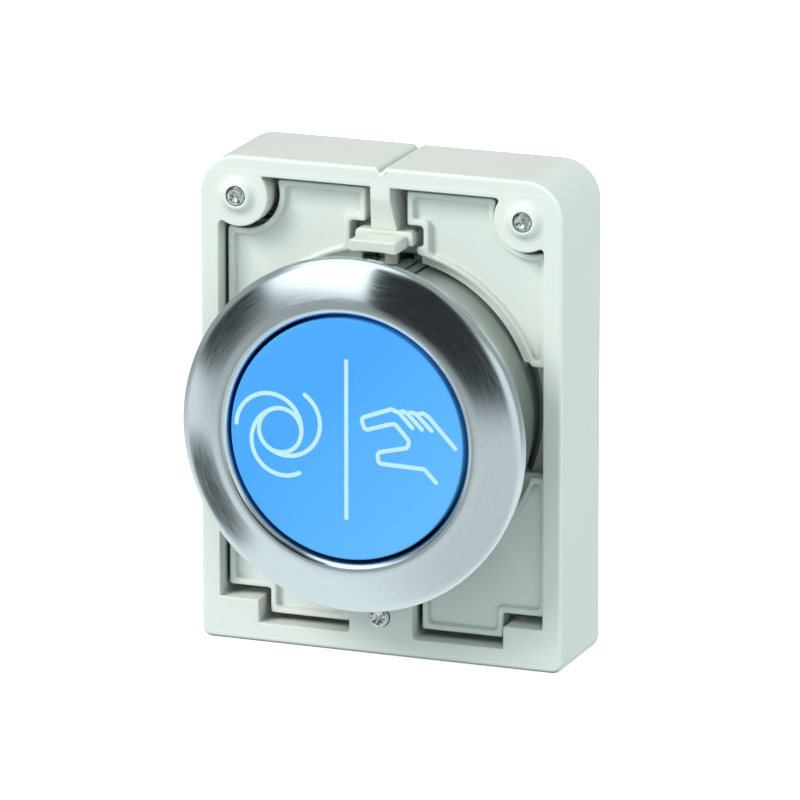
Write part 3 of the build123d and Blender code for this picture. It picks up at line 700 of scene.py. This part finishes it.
# ------------------------------------------------------------------ adapter frame
def window_outline(gap=0.0):
    """The opening inside the bars, seen from the front; gap shrinks it all round."""
    half = FRAME_X - BAR - gap
    top = FRAME_TOP - BAR - gap
    bottom = FRAME_BOTTOM + BAR + gap
    step_x, step_z = STEP_X - gap, STEP_Z + gap
    block_x, block_z = BLOCK_X + gap, BLOCK_Z + gap
    boss = boss_arc(BOSS_R + gap, half, top)
    right = [
        at(block_x, block_z, 1.5), at(block_x, bottom, 0.45), at(step_x, bottom, 0.2),
        at(step_x, step_z, 0.25), at(half, step_z, 0.25),
    ]
    return outline(right + [(boss, 0.9, 0.8), (flipped(boss), 0.3, 0.9)] + flipped_stops(right))


def frame_outer():
    """The frame's outside, with a small notch at the middle of the top."""
    top_r, low_r = 4.0, 1.0
    notch = [(0.62, 0.0), (0.5, 0.03), (0.06, 0.5)]
    right = arc(FRAME_X - low_r, FRAME_BOTTOM + low_r, low_r, -90, 0, 9)
    right += arc(FRAME_X - top_r, FRAME_TOP - top_r, top_r, 0, 90)
    right += [(x, FRAME_TOP - depth) for x, depth in notch]
    return right + flipped(right)


def screw_hole(bm, x, z):
    """Stepped hole for a clamp screw, with a low dome round it at the top corners. Returns its end rings."""
    pocket = [
        (POCKET_R, FRAME_REAR), (POCKET_R - 0.08, FRAME_REAR - 0.08), (POCKET_R - 0.1, POCKET_FLOOR + 0.01),
        (SCREW_BORE_R, POCKET_FLOOR),
    ]
    dome = [  # radius, and depth past the dome's top
        (1.00, 0.10), (1.03, 0.03), (1.10, 0.0), (1.22, 0.01), (1.36, 0.07), (1.50, 0.18), (1.64, 0.33),
        (1.80, 0.46), (2.00, 0.55), (2.24, FRAME_FRONT - DOME_TOP),
    ]
    if z > 0:
        front = [(r, DOME_TOP + y) for r, y in dome]
    else:
        front = [(SCREW_BORE_R - 0.03, FRAME_FRONT + 0.15), (SCREW_BORE_R, FRAME_FRONT)]
    return skirt(bm, hole_loop(circle(x, z, POCKET_R, 5)), [(POCKET_R - r, y) for r, y in pocket + front])


def build_frame():
    bm = bmesh.new()
    rings = [
        rounded_wall(bm, solid_loop(frame_outer()), FRAME_FRONT, FRAME_REAR, 0.38, 0.25, 5),
        rounded_wall(bm, hole_loop(window_outline()), FRAME_FRONT, FRAME_REAR, 0.16, 0.12, 5),
    ]
    rings += [screw_hole(bm, x, z) for x, z in ((-BOSS_X, BOSS_Z), (BOSS_X, BOSS_Z), (0.0, FOOT_Z))]
    backs, fronts = zip(*rings)
    fill(bm, fronts)
    fill(bm, backs)
    build_tongue(bm)
    for side in (-1, 1):
        rail = (side * (LATCH_X - 0.95), side * (FRAME_X - BAR + 0.3))
        rounded_block(bm, rail, RAIL_Y, RAIL_Z, 0.12, 2)
    piece("adapter_frame_shell", "adapter_frame", "actuator", bm, FRAME_PLASTIC)


def build_tongue(bm):
    """T-shaped tongue: stem that leans back towards its foot, cross piece, curved nib and key."""
    rear = 10.6
    edge, shoulder = 0.14, 0.042
    flush = FRAME_FRONT - 0.006
    stem = [  # height, half width, front
        (FRAME_TOP - BAR + 0.35, 1.05, flush), (22.4, 1.05, flush), (22.1, 1.06, FRAME_FRONT + 0.03),
        (21.8, 1.09, FRAME_FRONT + 0.12), (20.4, 1.24, 7.47), (18.6, 1.43, 8.1),
    ]
    rings = []
    for z, half, front in stem:
        right = [(half - edge, front), (half - shoulder, front + shoulder), (half, front + edge)]
        right.append((half, rear))
        rings.append(vertices(bm, [(x, y, z) for x, y in flipped(right) + right]))
    strips(bm, rings)
    bm.faces.new(rings[0])
    bm.faces.new(rings[-1])

    half, cross_top, cross_bottom, cross_front = 3.06, 18.85, 17.4, 8.0
    cross = outline([
        at(-half, cross_bottom, 0.2), at(half, cross_bottom, 0.2),
        at(half, cross_top, 0.55), at(-half, cross_top, 0.55),
    ])
    prism(bm, cross, [], cross_front, rear, (0.15, 0.1))

    nib_half, nib_top, nib_under_r = 2.43, 18.45, 17.35
    across = [nib_half * k / 5 for k in range(5, -6, -1)]
    under = [(x, math.sqrt(nib_under_r ** 2 - x ** 2)) for x in across]
    nib = outline([(under, 0.2, 0.2), at(-nib_half, nib_top, 0.2), at(nib_half, nib_top, 0.2)])
    prism(bm, nib, [], NIB_FRONT, cross_front + 0.4, (0.16, 0.1))

    rounded_block(bm, (-0.65, 0.65), (9.9, rear - 0.05), (14.9, 17.6), 0.12, 2)


# ------------------------------------------------------------------ latch plate
def latch_pieces():
    """Front faces of the latch plate: (outline, [fields]) for the two upper halves and the lower one."""
    high, low = LATCH_RISE + SIDE_HALF, LATCH_RISE - SIDE_HALF
    field_x = LATCH_X - LIP

    # upper half on the right, anticlockwise from the throat of the tongue's slot
    side = angle_at_z(OPENING_R, SIDE_HALF)
    opening = arc(0, LATCH_RISE, OPENING_R, angle_at_x(OPENING_R, SLOT_THROAT), side, 2)
    upper = outline([
        (opening, 0.35, 0.35), at(LATCH_X, high, 0.35),
        (boss_arc(LATCH_BOSS_R, LATCH_X, LATCH_TOP), 0.8, 0.7),
        at(SLOT_NARROW, LATCH_TOP, 0.35), at(SLOT_NARROW, SLOT_SHOULDER, 0.3),
        at(SLOT_WIDE, SLOT_SHOULDER, 0.45), at(SLOT_WIDE, SLOT_FOOT, 0.4), at(SLOT_THROAT, SLOT_FOOT, 0.3),
    ])
    field_side = angle_at_z(FIELD_R, SIDE_HALF + LIP)
    top, shoulder, slot_x = LATCH_TOP - LIP, SLOT_SHOULDER + LIP, SLOT_WIDE + LIP
    upper_field = outline([
        (arc(0, LATCH_RISE, FIELD_R, angle_at_x(FIELD_R, slot_x), field_side, 2), 0.5, 0.3),
        at(field_x, high + LIP, 0.3), (boss_arc(LATCH_BOSS_R + LIP, field_x, top), 0.6, 0.6),
        at(SLOT_NARROW + LIP, top, 0.5), at(SLOT_NARROW + LIP, shoulder, 0.5), at(slot_x, shoulder, 0.7),
    ])

    # lower piece: both sides and the bridge over the frame's centre block
    right = [
        at(LATCH_BLOCK_X, LATCH_BLOCK_Z, 0.3), at(LATCH_BLOCK_X, LATCH_BOTTOM, 0.3),
        at(LATCH_STEP_X, LATCH_BOTTOM, 0.3), at(LATCH_STEP_X, LATCH_STEP_Z, 0.3),
        at(LATCH_X, LATCH_STEP_Z, 0.35), at(LATCH_X, low, 0.35),
    ]
    low_arc = arc(0, LATCH_RISE, OPENING_R, -side, side - 180, 2)
    lower = outline([(low_arc, 0.35, 0.35)] + flipped_stops(right) + right)
    bottom, step_x, step_z = LATCH_BOTTOM + LIP, LATCH_STEP_X - LIP, LATCH_STEP_Z + LIP
    block_x = LATCH_BLOCK_X + LIP
    lower_field = outline([
        (arc(0, LATCH_RISE, FIELD_R, -field_side, -angle_at_x(FIELD_R, block_x), 2), 0.3, 0.5),
        at(block_x, bottom, 0.5), at(step_x, bottom, 0.5), at(step_x, step_z, 0.5),
        at(field_x, step_z, 0.5), at(field_x, low - LIP, 0.3),
    ])
    return [
        (upper, [upper_field]), (flipped(upper), [flipped(upper_field)]),
        (lower, [lower_field, flipped(lower_field)]),
    ]


def build_ledges(bm):
    """Thin shelf that closes most of the gap round the neck, clear of it at both ends of the travel."""
    gap_r = NECK_R + 0.1
    outer_side = angle_at_z(LEDGE_OUTER_R, SIDE_HALF)
    upper = arc(0, LATCH_RISE, gap_r, angle_at_x(gap_r, SLOT_THROAT), angle_at_z(gap_r, SIDE_HALF), 2)
    upper += arc(0, LATCH_RISE, LEDGE_OUTER_R, outer_side, angle_at_x(LEDGE_OUTER_R, SLOT_THROAT), 2)
    inner_side = angle_at_z(gap_r, SIDE_HALF - LATCH_RISE)
    lower = arc(0, 0, gap_r, -inner_side, inner_side - 180, 2)
    lower += arc(0, LATCH_RISE, LEDGE_OUTER_R, outer_side - 180, -outer_side, 2)
    for shape in (upper, flipped(upper), lower):
        prism(bm, shape, [], *LEDGE_Y, (0.08, 0.02))


def build_latch_web(bm):
    """Web behind the faces, with the eccentric hole that bites into the neck's groove, and its ribs."""
    right = [
        (LATCH_BLOCK_X, LATCH_BOTTOM), (LATCH_STEP_X, LATCH_BOTTOM), (LATCH_STEP_X, LATCH_STEP_Z),
        (LATCH_X, LATCH_STEP_Z),
    ]
    right += boss_arc(LATCH_BOSS_R, LATCH_X, LATCH_TOP, 5)
    web = right + flipped(right) + [(-LATCH_BLOCK_X, LATCH_BLOCK_Z), (LATCH_BLOCK_X, LATCH_BLOCK_Z)]
    hole = circle(0, LATCH_RISE, LATCH_HOLE_R, 2)
    prism(bm, web, [hole], LATCH_WEB_Y, LATCH_REAR, (0.1, 0.1))
    rib_y = (LATCH_WALL_Y - 0.1, LATCH_WEB_Y + 0.1)
    side_rib = (LATCH_X - 0.9, LATCH_X - 0.02)
    ribs = [
        (side_rib, (6.6, 17.0)), (side_rib, (-18.6, -5.6)), ((3.85, 4.7), (-21.5, -17.0)),
        ((SEAT_X - SEAT_HALF, SEAT_X + SEAT_HALF), SEAT_Z),
    ]
    for side in (-1, 1):
        for xs, zs in ribs:
            rounded_block(bm, [side * x for x in xs], rib_y, zs, 0.08, 1)


def build_latch():
    """Inner plate: raised faces with sunk fields, a ledge round the neck and a web behind."""
    # from a face into its field: distance past the field's edge, and depth
    cove = [
        (-0.25, 0.0), (-0.22, 0.0), (-0.13, 0.03), (-0.05, 0.11), (0.0, 0.24),
        (0.02, 0.52), (0.05, 0.62), (0.10, 0.69), (0.16, 0.72), (0.18, 0.72),
    ]
    bm = bmesh.new()
    for shape, fields in latch_pieces():
        profile = [(0, LATCH_WALL_Y)] + edge_round(0.24, LATCH_FRONT, 1, 5)
        back, front = skirt(bm, solid_loop(shape), profile)
        fronts = [front]
        for field in fields:
            edge, floor = skirt(bm, hole_loop(field), [(d, LATCH_FRONT + y) for d, y in cove])
            fronts.append(edge)
            fill(bm, [floor])
        fill(bm, fronts)
        fill(bm, [back])
    build_ledges(bm)
    build_latch_web(bm)
    piece("latch_plate_shell", "latch_plate", "latch", bm, LATCH_PLASTIC)


# ------------------------------------------------------------------ clamp screws
def cratered_tip(bm, x, z, tip, segments):
    """Worn end of a screw: a shallow crater with a ragged rim. Returns its rings, from the middle out."""
    rings = [vertices(bm, [(x, tip + 0.26, z)])]
    for r, depth in ((0.24, 0.24), (0.44, 0.10), (0.60, 0.02), (0.72, 0.0), (0.84, 0.03)):
        points = []
        for i in range(segments):
            a = 2 * math.pi * i / segments
            ragged = 0.05 * math.sin(3 * a + x) + 0.04 * math.sin(5 * a + 2 * z)
            ragged += 0.03 * math.sin(9 * a + x * z)
            px, pz = spoke(r * (1 + 0.5 * ragged), math.degrees(a), x, z)
            points.append((px, tip + depth + 1.2 * max(0.0, ragged), pz))
        rings.append(vertices(bm, points))
    return rings


def thread(bm, x, z, start, end, tip, segments):
    """Rolled M2 thread between two depths, with a plain stretch under the head. Returns its rings."""
    major, depth, pitch = 0.975, 0.13, 0.4
    rings_per_turn = 8
    plain = 0.6
    flank = 1.6
    count = int((end - tip) / pitch * rings_per_turn)
    rings = []
    for k in range(count + 1):
        y = start + (end - start) * k / count
        taper = min(1.0, 0.93 + 0.2 * (y - tip))
        points = []
        for i in range(segments):
            phase = (y / pitch - i / segments) % 1.0
            groove = max(0.0, 1 - abs(2 * phase - 1) * flank) if y <= end - plain else 0.0
            px, pz = spoke((major - depth * groove) * taper, 360 * i / segments, x, z)
            points.append((px, y, pz))
        rings.append(vertices(bm, points))
    return rings


def cross_recess(bm, rim, x, z, face_y):
    """Flat top inside a rim with a tapering cross-shaped recess, opening towards +Y."""
    reach, half, depth, taper = 1.05, 0.24, 0.75, 0.6
    plus = []
    for quarter in range(4):
        c, s = math.cos(math.pi / 2 * quarter), math.sin(math.pi / 2 * quarter)
        for px, pz in ((reach, -half), (reach, half), (half, half)):
            plus.append((px * c - pz * s, px * s + pz * c))
    top = vertices(bm, [(x + px, face_y, z + pz) for px, pz in plus])
    floor = vertices(bm, [(x + px * taper, face_y - depth, z + pz * taper) for px, pz in plus])
    fill(bm, [rim, top])
    strip(bm, top, floor)
    fill(bm, [floor])


def build_screw(place):
    """Clamp screw: worn tip, rolled thread and a pan head with a cross recess."""
    node = "clamp_screw_" + place
    low, high = extent(node)
    x, z = centre(node, 0), centre(node, 2)
    tip, head_end = low[1], high[1]
    head_height = 1.4
    head_y = head_end - head_height
    head_r = (high[0] - low[0]) / 2
    segments = 40
    bm = bmesh.new()
    rings = cratered_tip(bm, x, z, tip, segments)
    rings += thread(bm, x, z, tip + 0.12, head_y, tip, segments)
    # beyond the head's radius, and past its underside
    head = [(-0.05, 0.0), (0.0, 0.06), (0.0, 0.8), (-0.12, 1.12), (-0.45, 1.34), (-0.75, head_height)]
    rings += [vertices(bm, around(head_r + r, head_y + y, segments, x, z)) for r, y in head]
    strips(bm, rings)
    cross_recess(bm, rings[-1], x, z, head_end)
    piece(node + "_threaded", node, "screw_" + place, bm, PLATED, 40)


# ------------------------------------------------------------------ rear carrier
def build_hooks(bm, x):
    """Rigid hook above and springy hook below, for one contact block."""
    rear = carrier_high[1]
    foot = FRAME_REAR - 0.4
    xs = (x - HOOK_HALF, x + HOOK_HALF)
    rounded_block(bm, xs, (foot, rear), (HOOK_Z, HOOK_Z + 1.2), 0.18, 3)
    rounded_block(bm, xs, (rear - 1.2, rear), (HOOK_Z - 1.0, HOOK_Z + 0.5), 0.18, 3)
    rounded_block(bm, xs, (foot, rear), (-HOOK_Z - 1.0, -HOOK_Z), 0.18, 3)
    # past the hook's end, and above its arm
    barb = [(-1.4, -0.2), (-1.4, 0.9), (-1.2, 0.88), (-0.05, -0.2)]
    ends = [vertices(bm, [(px, rear + y, z - HOOK_Z) for y, z in barb]) for px in (xs[0] + 0.1, xs[1] - 0.1)]
    strips(bm, ends)
    for end in ends:
        bm.faces.new(end)


def build_carrier():
    """Plate behind the neck that fills the frame's window, with snaps at its sides and hooks behind."""
    bm = bmesh.new()
    shape = window_outline(CARRIER_GAP)
    neck_hole = circle(0, 0, NECK_R + 0.05, 2)
    rear_hole = circle(0, 0, CARRIER_OPENING_R, 2)
    prism(bm, shape, [neck_hole], carrier_low[1], NECK_END + 0.01, (0.1, 0.0))
    prism(bm, shape, [rear_hole], NECK_END, FRAME_REAR, (0.0, 0.15), (0.0, 0.35))
    for x in (-CONTACT_PITCH, 0.0, CONTACT_PITCH):
        build_hooks(bm, x)
    for side in (-1, 1):
        for z in (-SNAP_Z, SNAP_Z):
            xs = (side * (FRAME_X - BAR - 1), side * carrier_high[0])
            rounded_block(bm, xs, SNAP_Y, (z - 2, z + 2), 0.12, 2)
    piece("contact_carrier_shell", "contact_carrier", "actuator", bm, FRAME_PLASTIC)


def coil(bm, radius, wire, turns, length, place):
    """Helical wire of round section; place() turns (across, across, along) into x, y, z."""
    steps, sides = turns * 40, 12
    slope = length / (2 * math.pi * turns * radius)
    rings = []
    for i in range(steps + 1):
        a = 2 * math.pi * turns * i / steps
        radial = Vector((math.cos(a), math.sin(a), 0))
        tangent = Vector((-math.sin(a), math.cos(a), slope)).normalized()
        sideways = tangent.cross(radial)
        middle = radial * radius + Vector((0, 0, length * i / steps))
        section = [2 * math.pi * k / sides for k in range(sides)]
        spots = [middle + radial * wire * math.cos(b) + sideways * wire * math.sin(b) for b in section]
        rings.append(vertices(bm, [place(spot) for spot in spots]))
    strips(bm, rings)
    bm.faces.new(rings[0])
    bm.faces.new(rings[-1])


def build_return_spring():
    """Return spring on the button axis, against the neck's web."""
    low, high = extent("return_spring")
    wire, turns = 0.4, 4
    length = high[1] - low[1]
    bm = bmesh.new()
    coil(bm, high[0] - wire, wire, turns, length - 2 * wire, lambda p: (p.x, low[1] + wire + p.z, p.y))
    spring = piece("return_spring_coil", "return_spring", "actuator", bm, WIRE, 50, False)
    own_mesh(spring)


def build_latch_springs():
    """Two small springs under the latch plate."""
    low, high = extent("latch_springs")
    wire, turns = 0.18, 6
    length = high[2] - low[2]
    radius = (high[1] - low[1]) / 2 - wire
    across = high[0] - wire - radius
    depth = (low[1] + high[1]) / 2
    foot = low[2] + wire
    bm = bmesh.new()
    for x in (-across, across):
        coil(bm, radius, wire, turns, length - 2 * wire, lambda p: (x + p.x, depth + p.y, foot + p.z))
    springs = piece("latch_spring_coils", "latch_springs", "actuator", bm, WIRE, 50, False)
    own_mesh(springs)


build_bezel()
build_cap()
build_neck()
build_frame()
build_latch()
for screw_place in ("left", "right", "bottom"):
    build_screw(screw_place)
build_carrier()
build_return_spring()
build_latch_springs()


# ------------------------------------------------------------------ studio
def stage_floor():
    """Pale sweep: flat under the object, rising into a backdrop far behind it."""
    half_width, front, bend_start, bend_r, top = 3500, -3000, 600, 700, 3000
    bend_steps = 12
    level = FRAME_BOTTOM - 0.02
    path = [(front, 0), (bend_start, 0)]
    for k in range(1, bend_steps + 1):
        a = math.pi / 2 * k / bend_steps
        path.append((bend_start + bend_r * math.sin(a), bend_r * (1 - math.cos(a))))
    path.append((bend_start + bend_r, top))
    bm = bmesh.new()
    rows = [vertices(bm, [(x, y, level + z) for x in (-half_width, half_width)]) for y, z in path]
    for near, far in zip(rows, rows[1:]):
        bm.faces.new((near[0], near[1], far[1], far[0]))
    paper = Finish("studio_paper")
    paper.set("Base Color", paper.mix(paper.noise(30.0, 3.0), (0.90, 0.90, 0.90), (0.92, 0.92, 0.92)))
    paper.set("Roughness", 0.85)
    paper.set("Specular IOR Level", 0.1)
    paper.set("Emission Color", (1, 1, 1, 1))
    paper.set("Emission Strength", 0.62)
    floor = mesh_object("studio_floor", bm, paper.material)
    floor.visible_diffuse = False
    floor.visible_glossy = False


def area_light(name, location, target, size, power, colour=(1, 1, 1)):
    """Softbox that lights the matt surfaces; the metal sees the world's cards instead."""
    data = bpy.data.lights.new(name, "AREA")
    data.shape = "RECTANGLE"
    data.size, data.size_y = (side * MM for side in size)
    data.energy = power
    data.color = colour
    light = bpy.data.objects.new(name, data)
    light.location = [c * MM for c in location]
    aim = Vector(target) - Vector(location)
    light.rotation_euler = aim.to_track_quat("-Z", "Y").to_euler()
    light.visible_glossy = False
    bpy.context.scene.collection.objects.link(light)


class Surroundings(Tree):
    """The world, written as functions of the direction looked in."""

    def __init__(self):
        world = bpy.data.worlds.new("studio_world")
        bpy.context.scene.world = world
        world.use_nodes = True
        super().__init__(world.node_tree)
        self.tree.nodes.clear()
        self.direction = self.add("ShaderNodeTexCoord").outputs["Generated"]
        x, y, self.height = self.separate(self.direction)
        self.azimuth = self.math("ARCTAN2", x, self.math("MULTIPLY", y, -1.0))

    def smooth(self, value, start, end, low=0.0, high=1.0):
        return self.ramp(value, low, high, start, end, "SMOOTHSTEP")

    def band(self, value, edges):
        """Rises to 1 over the first two edges and falls to 0 over the last two."""
        return self.math("MULTIPLY", self.smooth(value, *edges[:2]), self.smooth(value, *edges[2:], 1.0, 0.0))

    def window(self, azimuths, heights):
        """1 inside an azimuth band (degrees, 0 towards -Y) and a height band, 0 outside."""
        azimuths = [math.radians(a) for a in azimuths]
        return self.math("MULTIPLY", self.band(self.azimuth, azimuths), self.band(self.height, heights))

    def spot(self, towards, inner, outer):
        """1 within inner degrees of a direction, fading to 0 at outer."""
        inputs = {0: self.direction, 1: Vector(towards).normalized()}
        cosine = self.add("ShaderNodeVectorMath", inputs, operation="DOT_PRODUCT").outputs["Value"]
        return self.smooth(cosine, math.cos(math.radians(outer)), math.cos(math.radians(inner)))

    def paint(self, base, level, mask):
        """base where the mask is 0, level where it is 1."""
        change = self.math("MULTIPLY", self.math("SUBTRACT", level, base), mask)
        return self.math("ADD", base, change)


def metal_surroundings(w):
    """What the metal reflects: softbox upper left, dark camera side, bright card right, white floor."""
    shine = w.smooth(w.height, 0.02, -0.48, 0.42, 1.0)
    cards = [
        (0.02, w.window((-17.5, -15.0, 27.0, 32.0), (-0.19, 0.03, 0.80, 0.95))),  # dark camera side
        (1.90, w.window((-58.0, -45.0, -18.0, -15.5), (0.23, 0.36, 0.90, 0.99))),  # softbox, upper left
        (1.40, w.spot((-0.35, -0.25, 0.88), 16.0, 30.0)),  # its light on the ceiling
        (0.95, w.window((28.0, 33.0, 62.0, 80.0), (-0.45, -0.30, 0.36, 0.55))),  # card on the right
        (0.04, w.spot((-0.82, -0.54, 0.15), 8.0, 16.0)),  # dark gap on the left
        (1.00, w.spot((-0.90, -0.39, -0.17), 4.0, 9.0)),  # bright strip under it
        (0.03, w.spot((-0.79, -0.40, -0.47), 6.5, 13.5)),  # dark gap, lower left
        (0.42, w.spot((-0.35, -0.90, -0.26), 6.0, 15.0)),  # grey floor in front, left
        (0.72, w.spot((0.32, -0.70, -0.62), 12.0, 42.0)),  # grey floor in front, right
    ]
    for level, mask in cards:
        shine = w.paint(shine, level, mask)
    return shine


def matt_surroundings(w):
    """What lights the plastics besides the lamps: a soft upper left, the front, a bounce from the floor."""
    light = 0.08
    for level, mask in (
        (0.14, w.spot((-0.42, -0.55, 0.72), 5.0, 150.0)),
        (0.94, w.spot((0.15, -0.95, 0.25), 5.0, 62.0)),
        (0.42, w.spot((0.05, -0.70, -0.71), 5.0, 65.0)),
    ):
        light = w.math("ADD", light, w.math("MULTIPLY", mask, level))
    return light


def build_world():
    """Two backgrounds: one that glossy rays see and one that lights everything else."""
    w = Surroundings()
    choose = w.add("ShaderNodeMixShader", {0: w.add("ShaderNodeLightPath").outputs["Is Glossy Ray"]})
    backgrounds = (
        (1, matt_surroundings(w), (0.82, 0.985, 1.015, 1.0)),
        (2, metal_surroundings(w), (0.91, 1.0, 1.02, 1.0)),
    )
    for index, level, colour in backgrounds:
        background = w.add("ShaderNodeBackground", {"Color": colour, "Strength": level})
        w.link(background.outputs[0], choose.inputs[index])
    w.add("ShaderNodeOutputWorld", {0: choose.outputs[0]})


def build_camera():
    """Long lens to the right of the object and above it, looking down 15 degrees and 21 to the left."""
    data = bpy.data.cameras.new("camera")
    data.sensor_width = 36.0
    data.lens = 400.48
    data.clip_start = 0.05
    data.clip_end = 20.0
    camera = bpy.data.objects.new("camera", data)
    camera.location = [c * MM for c in (308.17, -787.46, 230.07)]
    camera.rotation_euler = (math.radians(90 - 15.0), 0.0, math.radians(21.07))
    bpy.context.scene.collection.objects.link(camera)
    bpy.context.scene.camera = camera


stage_floor()
build_world()
area_light("key_upper_left", (-520, -600, 640), (0, 0, 0), (400, 400), 7.6, (1.0, 0.985, 0.95))
area_light("right_fill", (470, 60, 110), (0, 5, 0), (240, 240), 1.48, (0.88, 0.99, 1.03))
area_light("overhead", (40, 60, 900), (0, 0, 0), (600, 500), 1.05)
build_camera()
bpy.context.scene.view_settings.view_transform = "Standard"
